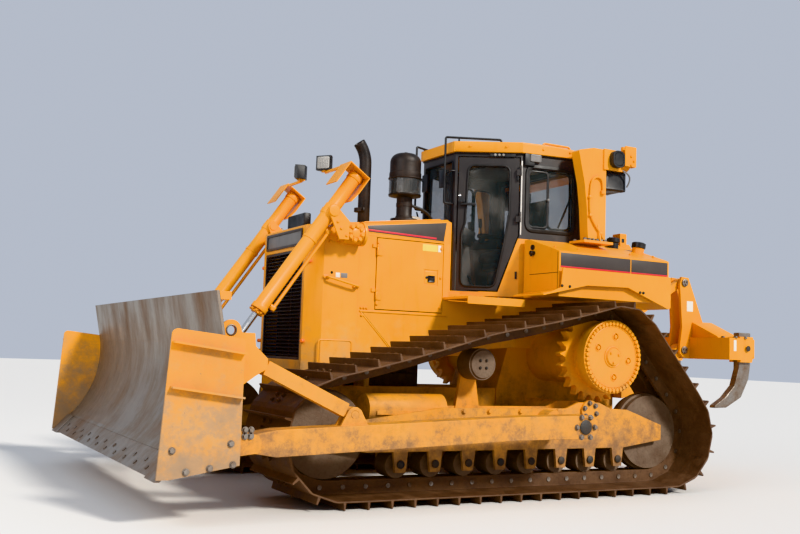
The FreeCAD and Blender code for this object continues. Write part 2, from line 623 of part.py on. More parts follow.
grille_inner = [("-(grilleHalf - grilleFrame)", "grilleLow + grilleFrame"), ("grilleHalf - grilleFrame", "grilleLow + grilleFrame"),
                ("grilleHalf - grilleFrame", "grilleHigh - grilleFrame"), ("-(grilleHalf - grilleFrame)", "grilleHigh - grilleFrame")]
grille_pieces = [plate("grille_frame", "YZ_Plane", "guardFront - guardWall", "guardFront - 2", grille_hole, grille_inner)]
louvre_count = round(value("louvreCount"))
for number in range(louvre_count):
    louvre = doc.addObject("Part::Box", "Louvre")
    bind(louvre, "Length", "louvreDepth")
    bind(louvre, "Width", "(grilleHalf - grilleFrame + 6) * 2")
    bind(louvre, "Height", "louvreThick")
    height = f"grilleLow + grilleFrame + (grilleHigh - grilleLow - 2 * grilleFrame) * {number + 0.5} / louvreCount"
    put(louvre, "guardFront - guardWall - 18", "-(grilleHalf - grilleFrame + 6)", f"{height} + 10", (0, 1, 0),
        value("louvreTurn"))
    grille_pieces.append(louvre)
for middle in ("-grilleHalf / 3", "grilleHalf / 3"):
    grille_pieces.append(box("guardFront - guardWall - 22", "guardFront - guardWall - 6", f"{middle} - 5", f"{middle} + 5",
                             "grilleLow + 10", "grilleHigh - 10"))
node("radiator_grille", fused("radiator_grille", *grille_pieces))
node("radiator_core", box("guardRear + 70", "guardRear + 280", "-(guardHalf - guardWall - 40)", "guardHalf - guardWall - 40",
                          "guardLow + guardFloor", "hoodFrontZ - 46"))


# Hood: a crowned cover that rises to the rear, the side panels below it and the hinged engine doors.

def hood_section(top):
    half, sheet_, crown = "hoodHalf", "hoodSheet", "hoodCrown"
    return [(half, "hoodBand"), (half, top), (f"{half} - 60", f"{top} + {crown}"), (f"-({half} - 60)", f"{top} + {crown}"),
            (f"-{half}", top), (f"-{half}", "hoodBand"), (f"-({half} - {sheet_})", "hoodBand"),
            (f"-({half} - {sheet_})", f"{top} - 8"), (f"-({half} - 66)", f"{top} + {crown} - {sheet_}"),
            (f"{half} - 66", f"{top} + {crown} - {sheet_}"), (f"{half} - {sheet_}", f"{top} - 8"),
            (f"{half} - {sheet_}", "hoodBand")]


hood = doc.addObject("PartDesign::Body", "hood_cover")
rear_section = add_sketch(hood, "YZ_Plane", "hoodRear", "0", [hood_section("hoodRearZ - 28")])
front_section = add_sketch(hood, "YZ_Plane", "guardRear - 0.3", "0",
                           [hood_section("hoodFrontZ + (hoodRearZ - hoodFrontZ) * 0.3 - 28")])
loft = hood.newObject("PartDesign::AdditiveLoft", "Loft")
loft.Profile = rear_section
loft.Sections = [front_section]
loft.Ruled = True
hood.Tip = loft
cut_in(hood, "XY_Plane", "hoodBand", "hoodRearZ + 60", ("circle", "stackX", "stackY", "stackRadius + 0.3"),
       ("circle", "cleanerX", "cleanerY", "cleanerBase + 0.3"))
node("hood_cover", hood)

side_outline = [("hoodRear", "ledgeZ + 90"), ("hoodRear", "hoodBand - 0.3"), ("guardRear - 0.3", "hoodBand - 0.3"),
                ("guardRear - 0.3", "ledgeZ - 30"), ("guardRear - 330", "ledgeZ - 330"), ("guardRear - 330", "panelLow + 80"),
                ("bodyFront + 10", "panelLow + 200"), ("bodyFront + 10", "platformTop - 30"), ("hoodRear", "platformTop - 30")]
door_hole = [("engineDoorRear", "engineDoorLow"), ("engineDoorFront", "engineDoorLow"),
             ("engineDoorFront", "engineDoorHigh"), ("engineDoorRear", "engineDoorHigh")]
side_panel = plate("side_panel", "XZ_Plane", "hoodHalf - panelThick", "hoodHalf", side_outline, door_hole)
side_lower = plate("side_lower", "XZ_Plane", "hoodHalf - panelThick", "hoodHalf",
                   [("guardRear - 0.3", "ledgeZ - 30"), ("guardRear - 0.3", "panelLow"), ("guardRear - 330", "panelLow"),
                    ("guardRear - 330", "ledgeZ - 330")])
panel_rib = box("hoodRear", "guardRear - 20", "railOuter - 10", "hoodHalf - panelThick", "panelLow + 90", "panelLow + 104")
panel_post = box("engineDoorFront + 20", "engineDoorFront + 60", "railOuter - 40", "hoodHalf - panelThick", "railTop + 0.3",
                 "panelLow + 100")
knuckle_heights = ("90", "490")


def hinge_half(z, length, x_low, x_high, y_low):
    """Half of a hinge at the engine door's front edge: its knuckle and its leaf."""
    knuckle = rod("knuckleRadius", ("engineDoorFront - doorGap", "hoodHalf + engineHingeOut", z), length, "z")
    return fused("hinge_half", knuckle, box(x_low, x_high, y_low, "hoodHalf + engineHingeOut - 3", z, f"{z} + {length}"))


panel_hinges = [hinge_half(f"engineDoorLow + {z} + knuckleLength + 0.3", "30", "engineDoorFront - doorGap + 0.5",
                           "engineDoorFront + 40", "hoodHalf - 2") for z in knuckle_heights]
node("side_panels", both_sides("side_panels", fused("side_panel_one", side_panel, side_lower, panel_rib, panel_post,
                                                    *panel_hinges)))

firewall = fused("firewall",
                 box("hoodRear - 16", "hoodRear - 0.3", "-(hoodHalf - 2)", "hoodHalf - 2", "deckTop + 0.3", "hoodRearZ - 30"),
                 box("cabFront + 0.3", "hoodRear - 10", "-250", "250", "deckTop + 0.3", "cowlTop"),
                 box("cabFront + 0.3", "hoodRear - 10", "-460", "460", "deckTop + 0.3", "doorLow - 8"))
node("firewall", firewall)


def engine_door():
    """A flat pressed door with a stiffening tray inside and two hinge knuckles at its front edge."""
    outer = [("engineDoorRear + doorGap", "engineDoorLow + doorGap"), ("engineDoorFront - doorGap", "engineDoorLow + doorGap"),
             ("engineDoorFront - doorGap", "engineDoorHigh - doorGap"), ("engineDoorRear + doorGap", "engineDoorHigh - doorGap")]
    door = plate("engine_door", "XZ_Plane", "hoodHalf - engineDoorThick + 4", "hoodHalf + 4", outer)
    tray = [("engineDoorRear + 70", "engineDoorLow + 70"), ("engineDoorFront - 70", "engineDoorLow + 70"),
            ("engineDoorFront - 70", "engineDoorHigh - 70"), ("engineDoorRear + 70", "engineDoorHigh - 70")]
    cut_in(door, "XZ_Plane", "hoodHalf - engineDoorThick", "hoodHalf - 4", tray)
    latch = [("engineDoorRear + 60", "engineDoorLow + 255"), ("engineDoorRear + 210", "engineDoorLow + 255"),
             ("engineDoorRear + 210", "engineDoorLow + 400"), ("engineDoorRear + 60", "engineDoorLow + 400")]
    cut_in(door, "XZ_Plane", "hoodHalf - 2", "hoodHalf + 20", latch)
    hinges = [hinge_half(f"engineDoorLow + {z}", "knuckleLength", "engineDoorFront - 60", "engineDoorFront - doorGap",
                         "hoodHalf + 2") for z in knuckle_heights]
    return fused("engine_door_one", door, *hinges)


door_one = node("engine_door_left", engine_door())
node("engine_door_right", mirrored("engine_door_right", door_one))


# Exhaust stack and air pre-cleaner.

def stack_shape():
    """A thin pipe, straight and then bent towards the front."""
    turn = math.radians(value("stackTurn"))
    knee = value("stackBend") * math.tan(turn / 2)
    reach = knee + 20
    corner = ("stackX", "stackY", f"stackStraight + {knee:.4f}")
    tip = (f"stackX + {reach * math.sin(turn):.4f}", "stackY", f"stackStraight + {knee + reach * math.cos(turn):.4f}")
    path = bent_path([("stackX", "stackY", "hoodRearZ - 120"), corner, tip], value("stackBend"))
    return tube(path, value("stackRadius"), value("stackWall"))


node("exhaust_stack", set_shape("exhaust_stack", stack_shape()))
cleaner_base = "hoodRearZ - 75"
bowl_low = "cleanerPlate + 12"
cleaner_profile = [("0", cleaner_base), ("cleanerBase", cleaner_base), ("cleanerBase", f"{cleaner_base} + 74"),
                   ("cleanerNeck + 12", f"{cleaner_base} + 84"), ("cleanerNeck", f"{cleaner_base} + 110"),
                   ("cleanerNeck", "cleanerPlate - 14"), ("cleanerRadius", "cleanerPlate"), ("cleanerRadius", bowl_low),
                   ("cleanerNeck - 13", bowl_low), ("cleanerNeck - 13", "bowlTop"), ("cleanerRadius", "bowlTop"),
                   ("cleanerRadius", "bowlTop + 60"), ("cleanerRadius - 5", "bowlTop + 66"),
                   ("cleanerRadius - 5", "domeTop - 106", "90"), ("cleanerRadius - 79", "domeTop - 14"), ("0", "domeTop")]
node("precleaner", put(turned("precleaner", "XZ_Plane", "V_Axis", cleaner_profile), "cleanerX", "cleanerY", "0"))
bowl_profile = [("cleanerRadius - bowlWall", f"{bowl_low} + 0.3"), ("cleanerRadius", f"{bowl_low} + 0.3"),
                ("cleanerRadius", "bowlTop - 0.3"), ("cleanerRadius - bowlWall", "bowlTop - 0.3")]
node("precleaner_bowl", put(turned("precleaner_bowl", "XZ_Plane", "V_Axis", bowl_profile), "cleanerX", "cleanerY", "0"))


# Cab: six walls with a door in each slanted one, glass in the others, and a roof.

def plan_turn():
    """Angle of the left door's wall in plan, from the rear post to the front."""
    return math.degrees(math.atan2(value("cabFrontHalf - cabPostHalf"), value("cabFront - cabPost")))


door_width = math.hypot(value("cabFront - cabPost"), value("cabPostHalf - cabFrontHalf"))


def cab_plan(inset):
    """The cab's plan, moved in by an inset along every wall."""
    lean = math.radians(-plan_turn())
    side = math.atan2(value("cabRearHalf - cabPostHalf"), value("cabPost - cabRear"))
    front_share = (1 - math.sin(lean)) / math.cos(lean)
    bend = (lean + side) / 2 + (lean - side) / 2
    post_back = (math.sin(lean) - math.sin(side)) / math.sin(lean - side + 1e-9) if lean != side else 0
    rear_share = (1 + math.sin(side)) / math.cos(side)
    half = [("cabFront", "cabFrontHalf", 1, front_share), ("cabPost", "cabPostHalf", math.tan((lean - side) / 2) * math.cos(bend), 1),
            ("cabRear", "cabRearHalf", -1, rear_share)]
    left = [(f"{x} - ({inset}) * {along:.6f}", f"{y} - ({inset}) * {inward:.6f}") for x, y, along, inward in half]
    right = [(x, f"-({y})") for x, y in reversed(left)]
    return left + right


def on_door_wall(label, low, high, *loops):
    """A plate in the left door's own plane: x from the rear post, y out from the wall's face."""
    item = plate(label, "XZ_Plane", low, high, *loops)
    return put(item, "cabPost", "cabPostHalf", "0", (0, 0, 1), plan_turn())


width = f"{door_width:.4f}"


def door_loop(gap):
    return [(f"{gap}", f"doorHigh - {gap}"), (f"{gap}", "doorKnee"), (f"doorToe + {gap}", f"doorLow + {gap}"),
            (f"{width} - {gap} - 22", f"doorLow + {gap}"), (f"{width} - {gap} - 22", f"doorHigh - {gap}")]


door_glass = rounded([("105", "3075"), ("105", "2600"), ("150", "2310"), ("235", "1882"), (f"{width} - 82", "1882"),
                      (f"{width} - 78", "2400"), (f"{width} - 112", "2510"), (f"{width} - 130", "3075")], "glassCorner")
shell = plate("cab_walls", "XY_Plane", "cabFloor", "cabTop", cab_plan("0"))
cut_in(shell, "XY_Plane", "cabFloor + 30", "cabTop + 10", cab_plan("cabWall"))
side_window = rounded([("-175", "rearWindowLow"), ("340", "rearWindowLow"), ("340", "3065"), ("-175", "3065")],
                      "windowCorner")
door_cutter = on_door_wall("door_cutter", "-cabWall - 60", "60", door_loop("4"))
window_cutters = [
    box("cabFront - cabWall - 40", "cabFront + 30", "-(cabFrontHalf - 52)", "cabFrontHalf - 52", "windscreenLow", "windowHigh"),
    box("cabRear - 30", "cabRear + cabWall + 40", "-(cabRearHalf - 110)", "cabRearHalf - 110", "rearWindowLow", "windowHigh"),
    plate("side_window_cutter", "XZ_Plane", "-cabRearHalf - 60", "cabRearHalf + 60", side_window),
]
hinge_turn = math.radians(plan_turn())
hinge_x = f"cabPost - hingeOut * {math.sin(hinge_turn):.6f}"
hinge_y = f"cabPostHalf + hingeOut * {math.cos(hinge_turn):.6f}"
hinge_heights = ("2520", "2980")
fixed_leaves = []
for z in hinge_heights:
    fixed_leaves.append(rod("10", (hinge_x, hinge_y, f"{z} + 60.3"), "40", "z"))
    fixed_leaves.append(on_door_wall("fixed_leaf", "-12", "hingeOut - 4",
                                     [("-9", f"{z} + 60.3"), ("2", f"{z} + 60.3"), ("2", f"{z} + 100.3"), ("-9", f"{z} + 100.3")]))
fixed_side = fused("fixed_leaves", *fixed_leaves)
walls = cut("cab_walls_cut", shell, door_cutter, mirrored("door_cutter_other", door_cutter), *window_cutters)
node("cab_shell", fused("cab_shell", walls, fixed_side, mirrored("fixed_leaves_other", fixed_side)))

pane_layer = plate("pane_layer", "XY_Plane", "cabFloor + 40", "cabTop - 1", cab_plan("cabWall / 2 - glassThick / 2"))
cut_in(pane_layer, "XY_Plane", "cabFloor", "cabTop + 10", cab_plan("cabWall / 2 + glassThick / 2"))
panes = doc.addObject("Part::MultiCommon", "cab_glass")
panes.Shapes = [pane_layer, fused("window_volumes", *[doc.copyObject(item, True) for item in window_cutters])]
node("cab_glass", panes)

roof_plan = cab_plan("-roofOver")
roof = plate("cab_roof", "XY_Plane", "cabTop + 0.3", "cabTop + roofHigh", roof_plan)
cut_in(roof, "XZ_Plane", "-1000", "1000", [("cabFront + 200", "cabTop + roofHigh"), ("cabFront - 120", "cabTop + roofHigh + 30"),
                                           ("cabRear - 200", "cabTop + roofHigh + 30"), ("cabRear - 200", "cabTop + roofHigh - 50"),
                                           ("cabRear + 350", "cabTop + roofHigh")])
roof_top = "cabTop + roofHigh"
handle_path = bent_path([("handleFront", "handleY", f"{roof_top} - 10"), ("handleFront", "handleY", f"{roof_top} + 46"),
                         ("handleRear", "handleY", f"{roof_top} + 46"), ("handleRear", "handleY", f"{roof_top} - 40")], 30)
roof_handle = set_shape("roof_handle", tube(handle_path, value("handleTube")))
node("cab_roof", fused("cab_roof_all", roof, roof_handle, mirrored("roof_handle_other", roof_handle)))
rail_top = f"{roof_top} + railRise"
rail_path = bent_path([("cabFront + 0.3", "railY", "railFoot"), ("railX", "railY", "railFoot"), ("railX", "railY", rail_top),
                       ("railRearX", "railRearY", rail_top), ("railRearX", "railRearY", f"{roof_top} + 0.3")],
                      value("railTube") * 1.6)
rail_leg = rod("railTube - 3", ("railX - 121", "railY + 54", f"{roof_top} + 0.3"), "railRise", "z")
grab_rail = fused("grab_rail", set_shape("rail_tube", tube(rail_path, value("railTube"))), rail_leg)
node("grab_rails", both_sides("grab_rails", grab_rail))


def cab_door():
    """Door frame round its glass, with two knuckles at the rear edge."""
    frame = on_door_wall("cab_door", "-cabDoorThick", "0", door_loop("14"), door_glass)
    leaves = []
    for z in hinge_heights:
        leaves.append(on_door_wall("hinge_leaf", "-8", "hingeOut - 2", [("14", z), ("40", z), ("40", f"{z} + 60"), ("14", f"{z} + 60")]))
        leaves.append(rod("10", (hinge_x, hinge_y, z), "60", "z"))
        leaves.append(on_door_wall("hinge_arm", "hingeOut - 6", "hingeOut + 4",
                                   [("-4", z), ("40", z), ("40", f"{z} + 60"), ("-4", f"{z} + 60")]))
    return fused("cab_door_one", frame, *leaves)


cab_door_left = node("cab_door_left", cab_door())
node("cab_door_right", mirrored("cab_door_right", cab_door_left))
pane = on_door_wall("door_pane", "-cabDoorThick / 2 - glassThick / 2", "-cabDoorThick / 2 + glassThick / 2", door_glass)
pane_left = node("door_glass_left", pane)
node("door_glass_right", mirrored("door_glass_right", pane_left))

seat_side = [("-130", "2160"), ("330", "2190"), ("350", "2290"), ("0", "2270"), ("-110", "2900"), ("-200", "2900"),
             ("-220", "2250")]
node("operator_seat", fused("operator_seat", plate("seat_form", "XZ_Plane", "-255", "255", seat_side),
                            box("-90", "290", "-190", "190", "cabFloor + 30", "2165")))
console_front = [("640", "cabFloor + 30"), ("860", "cabFloor + 30"), ("890", "2380"), ("760", "2440"), ("700", "2330")]
node("control_console", group(
    "control_console", plate("dash_form", "XZ_Plane", "-190", "190", console_front),
    plate("left_console", "XZ_Plane", "310", "430", [("-160", "cabFloor + 30"), ("260", "cabFloor + 30"), ("330", "2330"), ("-160", "2390")]),
    plate("right_console", "XZ_Plane", "-430", "-310", [("-160", "cabFloor + 30"), ("260", "cabFloor + 30"), ("330", "2330"), ("-160", "2390")])))


# Rear body with the fuel tank, fenders and platforms, and the roll-over frame.

body_section = [("-bodyHalf", "bodyLow"), ("bodyHalf", "bodyLow"), ("bodyHalf", "bodyEdge"), ("bodyHalf - 60", "bodyEdge + 22"),
                ("cabRearHalf + 30", "bodyTop"), ("-(cabRearHalf + 30)", "bodyTop"), ("-(bodyHalf - 60)", "bodyEdge + 22"),
                ("-bodyHalf", "bodyEdge")]
rear_body = plate("rear_body", "YZ_Plane", "bodyRear", "bodyFront", body_section)
cab_room = [("bodyFront + 20", "cabPostHalf + 40"), ("cabRear - cabClear", "cabRearHalf + cabClear"),
            ("cabRear - cabClear", "-(cabRearHalf + cabClear)"), ("bodyFront + 20", "-(cabPostHalf + 40)")]
cut_in(rear_body, "XY_Plane", "bodyLow - 20", "bodyTop + 50", cab_room)
hump = plate("rear_hump", "YZ_Plane", "bodyRear - 130", "cabRear - 120",
             [("-humpHalf", "bodyLow + 60"), ("humpHalf", "bodyLow + 60"), ("humpHalf", "bodyTop + 20"), ("humpHalf - 70", "humpTop"),
              ("-(humpHalf - 70)", "humpTop"), ("-humpHalf", "bodyTop + 20")])
seat_block = box("caseRear + 60", "cabRear - cabClear - 6", "-caseHalf", "caseHalf", "caseTop + 0.3", "bodyLow + 80")
node("rear_body", fused("rear_body_all", rear_body, hump, seat_block))

fender_low = [("600", "1775"), ("100", "1893"), ("-400", "1905"), ("-920", "1725")]
fender_high = [(x, f"{z} + fenderPlate") for x, z in reversed(fender_low)]
fender_deck = plate("fender_deck", "XZ_Plane", "bodyHalf - 420", "fenderHalf", fender_low + fender_high)
fender_skirt = plate("fender_skirt", "XZ_Plane", "fenderHalf - fenderPlate", "fenderHalf",
                     [("600", "1775"), ("100", "1893"), ("-400", "1905"), ("-920", "1725"), ("-950", "1740"), ("-950", "2040"),
                      ("380", "2040"), ("400", "1860")])
fender_cutter = plate("body_volume", "YZ_Plane", "bodyRear - 0.3", "bodyFront + 0.3",
                      [("-bodyHalf - 0.3", "bodyLow - 0.3"), ("bodyHalf + 0.3", "bodyLow - 0.3"), ("bodyHalf + 0.3", "2300"),
                       ("-bodyHalf - 0.3", "2300")])
fender = cut("fender_one", fused("fender_solid", fender_deck, fender_skirt), fender_cutter)
platform = fused("platform_one",
                 box("bodyFront + 220", "1238", "hoodHalf + 0.3", "platformHalf", "platformTop - 24", "platformTop"),
                 box("bodyFront + 220", "1238", "platformHalf - 16", "platformHalf", "platformTop - 70", "platformTop"))
node("fenders", both_sides("fenders", fender))
node("platforms", both_sides("platforms", platform))

column = plate("rops_column", "XZ_Plane", "ropsInner", "ropsOuter",
               [("ropsRear", "bodyTop + 22"), ("ropsFront", "bodyTop + 22"), ("ropsFront + 8", "bodyTop + 90"),
                ("ropsFront + 24", "ropsTop - 606"), ("ropsFront + 56", "ropsTop - 366"), ("ropsFront + 133", "ropsTop - 52"),
                ("ropsFront + 120", "ropsTop - 38"), ("ropsFront - 52", "ropsTop"), ("ropsRear", "ropsTop")])
foot = box("ropsRear - 60", "ropsFront + 90", "ropsInner - 60", "ropsOuter + 50", "bodyTop + 0.3", "bodyTop + 24")
gusset = plate("rops_gusset", "YZ_Plane", "ropsRear + 80", "ropsRear + 96",
               [("ropsOuter - 2", "bodyTop + 22"), ("ropsOuter + 44", "bodyTop + 22"), ("ropsOuter - 2", "bodyTop + 210")])
beam = plate("rops_beam", "XZ_Plane", "-ropsOuter", "ropsOuter",
             [("ropsRear + 20", "ropsTop - ropsBeam"), ("ropsRear + 20", "ropsTop"), ("ropsBeamRear + 30", "ropsTop"),
              ("ropsBeamRear", "ropsTop - 30"), ("ropsBeamRear", "ropsTop - ropsBeam + 30"),
              ("ropsBeamRear + 30", "ropsTop - ropsBeam")])
end_plate_rops = box("sideLampX - sideLampWide / 2 - 20", "ropsRear + 40", "ropsOuter - 2", "ropsOuter + 18",
                     "ropsTop - ropsBeam - 10", "ropsTop + 6")
lamp_guard = plate("side_lamp_guard", "XY_Plane", "ropsTop - ropsBeam + 44", "ropsTop + 56",
                   [("sideLampX - sideLampWide / 2 - 20", "ropsOuter - 10"), ("ropsBeamRear - 30", "ropsOuter - 10"),
                    ("ropsBeamRear - 30", "ropsOuter + 66"), ("sideLampX - sideLampWide / 2 - 12", "ropsOuter + 66"),
                    ("sideLampX - sideLampWide / 2 - 12", "ropsOuter + 58"), ("ropsBeamRear - 22", "ropsOuter + 58"),
                    ("ropsBeamRear - 22", "ropsOuter + 17"), ("sideLampX - sideLampWide / 2 - 20", "ropsOuter + 17")])
rops_side = fused("rops_side", column, foot, gusset, end_plate_rops, lamp_guard)
node("rops_frame", fused("rops_frame", beam, rops_side, mirrored("rops_other", rops_side)))
lamp_face = rounded([("sideLampX - sideLampWide / 2", "sideLampZ - 84"), ("sideLampX + sideLampWide / 2", "sideLampZ - 84"),
                     ("sideLampX + sideLampWide / 2", "sideLampZ + 84"), ("sideLampX - sideLampWide / 2", "sideLampZ + 84")], "60")
side_lamp = plate("side_lamp", "XZ_Plane", "ropsOuter + 18.3", "ropsOuter + 18.3 + sideLampDeep", lamp_face)
node("side_lamps", both_sides("side_lamps", side_lamp))


# Blade: curved mouldboard, its back beams and lugs, cutting edge, end plates, push arms and braces.

blade_half = "(armOuter + bladeOver)"
face_curve = [("edgeTopX", "edgeTopZ", "-curveRadius"), ("curveTopX", "curveTopZ"), ("bladeTopX", "bladeTopZ")]
back_curve = [("bladeTopX - moldSheet", "bladeTopZ + 4"), ("curveTopX - moldSheet", "curveTopZ + 2", "curveRadius + moldSheet"),
              ("edgeTopX - 16", "edgeTopZ - 16")]
moldboard = node("moldboard", plate("moldboard", "XZ_Plane", f"-{blade_half}", f"{blade_half}", face_curve + back_curve))
ahead = [("edgeTopX - 16.4", "edgeTopZ - 16.4"), ("edgeTopX + 883.6", "edgeTopZ - 916.4"), ("edgeTopX + 900", "bladeTopZ + 900"),
         ("bladeTopX - moldSheet + 40", "bladeTopZ + 300"), ("bladeTopX - moldSheet", "bladeTopZ + 4"),
         ("curveTopX - moldSheet", "curveTopZ + 2", "curveRadius + moldSheet")]
ahead_of_back = plate("ahead_of_back", "XZ_Plane", f"-{blade_half} - 200", f"{blade_half} + 200", ahead)

back_pieces = [box("backX", "edgeTopX + 60", f"-{blade_half}", f"{blade_half}", "edgeTipZ + 90", "edgeTopZ + 150"),
               box("backX", "edgeTopX", f"-{blade_half}", f"{blade_half}", "1010", "1160"),
               box("curveTopX - 40", "bladeTopX", f"-{blade_half}", f"{blade_half}", "bladeTopZ - 60", "bladeTopZ - 4")]
for y in (f"-{blade_half}", "-1300", "-12", "1300 - 24", f"{blade_half} - 24"):
    back_pieces.append(box("backX", "edgeTopX", y, f"{y} + 24", "edgeTipZ + 90", "curveTopZ"))
lug = [("edgeTopX", "760"), ("edgeTopX", "1200"), ("backX - 40", "1200"), ("liftPinX - 66", "liftPinZ + 36"),
       ("liftPinX - 66", "liftPinZ - 36"), ("backX - 60", "790")]
for side in ("liftY", "-liftY"):
    for low in (f"{side} - eyeWidth / 2 - 6 - 26", f"{side} + eyeWidth / 2 + 6"):
        back_pieces.append(plate("lift_lug", "XZ_Plane", low, f"{low} + 26", lug))
arm_lug = [("backX + 60", "armPinZ - 90"), ("backX + 60", "armPinZ + 110"), ("armPinX - 40", "armPinZ + 62"),
           ("armPinX - 62", "armPinZ + 30"), ("armPinX - 62", "armPinZ - 30"), ("armPinX - 40", "armPinZ - 62")]
bracket = [("earX + earRadius", "earZ", "earRadius + 0.01"), ("earX - earRadius", "earZ"), ("earX - 84", "earZ - 15"),
           ("earX - 176", "earZ - 15"), ("earX - 186", "earZ - 105"), ("braceTopX - 66", "braceTopZ + 30"),
           ("braceTopX - 66", "braceTopZ - 40"), ("braceTopX + 20", "braceTopZ - 90"), ("backX + 40", "880"),
           ("edgeTopX", "880"), ("edgeTopX", "earZ - 40"), ("earX + 90", "earZ - 40")]
inner_bracket = [("edgeTopX", "880"), ("edgeTopX", "1180"), ("backX", "1180"), ("braceTopX - 66", "braceTopZ + 50"),
                 ("braceTopX - 66", "braceTopZ - 40"), ("braceTopX + 20", "braceTopZ - 90"), ("backX + 40", "880")]
for mirror_sign in ("", "-"):
    for low, high in (("armOuter + 4", "armOuter + 30"), ("armInner - 30", "armInner - 4")):
        ends = (low, high) if not mirror_sign else (f"-({high})", f"-({low})")
        back_pieces.append(plate("arm_lug", "XZ_Plane", *ends, arm_lug))
    outer = ("braceY + 54", "braceY + 80")
    inner = ("braceY - 80", "braceY - 54")
    for (low, high), loops in ((outer, [bracket, ("circle", "earX", "earZ", "earHole")]), (inner, [inner_bracket])):
        ends = (low, high) if not mirror_sign else (f"-({high})", f"-({low})")
        back_pieces.append(plate("brace_bracket", "XZ_Plane", *ends, *loops))
node("blade_frame", cut("blade_frame", fused("blade_frame_solid", *back_pieces), ahead_of_back))

edge_section = [("edgeTopX", "edgeTopZ"), ("edgeTopX - 16", "edgeTopZ - 16"), ("edgeTipX - 28", "edgeTipZ - 2"),
                ("edgeTipX", "edgeTipZ")]
edge_middle = plate("edge_middle", "XZ_Plane", f"-{blade_half} + 270", f"{blade_half} - 270", edge_section)
bit_section = [("edgeTopX + 10", "edgeTopZ + 10"), ("edgeTopX - 16", "edgeTopZ - 16"), ("edgeTipX - 20", "edgeTipZ - 10"),
               ("edgeTipX + 14", "edgeTipZ - 8")]
end_bit = plate("end_bit", "XZ_Plane", f"{blade_half} - 269", f"{blade_half} - 0.3", bit_section)
end_bit = cut("end_bit_cut", end_bit, plate("mold_clear", "XZ_Plane", f"-{blade_half}", f"{blade_half}",
                                            [("edgeTopX", "edgeTopZ"), ("edgeTopX + 40", "edgeTopZ + 60"),
                                             ("edgeTopX - 60", "edgeTopZ + 60"), ("edgeTopX - 16", "edgeTopZ - 16")]))
node("cutting_edge", group("cutting_edge", edge_middle, end_bit, mirrored("end_bit_other", end_bit)))

end_outline = [("backX", "edgeTipZ + 90"), ("backX", "earZ - 62"), ("curveTopX + 40", "earZ - 36"), ("4118", "earZ - 8", "-40"),
               ("4158", "earZ - 46"), ("edgeTipX + 8", "edgeTipZ + 8"), ("edgeTipX - 80", "edgeTipZ + 8")]
end_plate = plate("end_plate", "XZ_Plane", f"{blade_half} + 0.3", f"{blade_half} + endPlate", end_outline)
ribs = []
for rear_z, front_z in (("earZ - 168", "earZ - 103"), ("earZ - 466", "earZ - 400")):
    strip = [("backX + 4", rear_z), ("backX + 4", f"{rear_z} + 14"), ("4154", f"{front_z} + 14"), ("4154", front_z)]
    ribs.append(plate("end_rib", "XZ_Plane", f"{blade_half} + endPlate - 1", f"{blade_half} + endPlate + endRib", strip))
node("end_plates", both_sides("end_plates", fused("end_plate_one", end_plate, *ribs)))

arm_outline = [("trunnionX - 60", "trunnionZ - 98"), ("trunnionX - 128", "trunnionZ - 52"), ("trunnionX - 128", "trunnionZ + 52"),
               ("trunnionX - 60", "trunnionZ + 98"), ("1250", "trunnionZ + 84"), ("armPinX - 190", "armPinZ + 96"),
               ("armPinX + 10", "armPinZ + 62"), ("armPinX + 66", "armPinZ + 20"), ("armPinX + 66", "armPinZ - 20"),
               ("armPinX + 10", "armPinZ - 62"), ("armPinX - 190", "armPinZ - 96"), ("1250", "trunnionZ - 104")]
arm = plate("push_arm", "XZ_Plane", "armInner", "armOuter", arm_outline,
            ("circle", "trunnionX", "trunnionZ", "trunnionRadius + pinClearance"), ("circle", "armPinX", "armPinZ", "armPinRadius + 0.5"))
ear_outline = [("braceLowX - 130", "braceLowZ - 110"), ("braceLowX - 52", "braceLowZ + 34"), ("braceLowX - 20", "braceLowZ + 56"),
               ("braceLowX + 20", "braceLowZ + 56"), ("braceLowX + 52", "braceLowZ + 34"), ("braceLowX + 130", "braceLowZ - 110")]
ears = [plate("arm_ear", "XZ_Plane", low, f"{low} + 24", ear_outline, ("circle", "braceLowX", "braceLowZ", "30.3"))
        for low in ("braceY + 30", "braceY - 54")]
node("push_arms", both_sides("push_arms", fused("push_arm_one", arm, *ears)))


def brace_length():
    return math.hypot(value("braceTopX - braceLowX"), value("braceTopZ - braceLowZ"))


def brace():
    """A square strut between two eyes, built along X and then tilted."""
    length = f"{brace_length():.4f}"
    strut = box("78", f"{length} - 78", "-48", "48", "-52", "52")
    eye_pieces = []
    for middle in ("0", length):
        eye_pieces.append(rod("56", (middle, "-27", "0"), "54", "y"))
    eye_pieces.append(box("0", "90", "-27", "27", "-40", "40"))
    eye_pieces.append(box(f"{length} - 90", length, "-27", "27", "-40", "40"))
    for middle in ("0", length):
        eye_pieces.append(rod("30", (middle, "-53.7", "0"), "107.4", "y"))
    solid = fused("brace_solid", strut, *eye_pieces)
    tilt = -math.degrees(math.atan2(value("braceTopZ - braceLowZ"), value("braceTopX - braceLowX")))
    holder = group("brace_one", solid)
    return put(holder, "braceLowX", "braceY", "braceLowZ", (0, 1, 0), tilt)


node("braces", both_sides("braces", brace()))


# Blade lift cylinders, each in its yoke on the guard. A cylinder is built along X from its trunnion.

def lift_length():
    return math.hypot(value("liftPinX - yokeX"), value("liftPinZ - yokeZ"))


def lift_tilt():
    """Turn about Y that points the cylinder from its trunnion to the pin on the blade."""
    return math.degrees(math.atan2(value("yokeZ - liftPinZ"), value("liftPinX - yokeX")))


def on_lift_axis(label, *items):
    return put(group(label, *items), "yokeX", "liftY", "yokeZ", (0, 1, 0), lift_tilt())


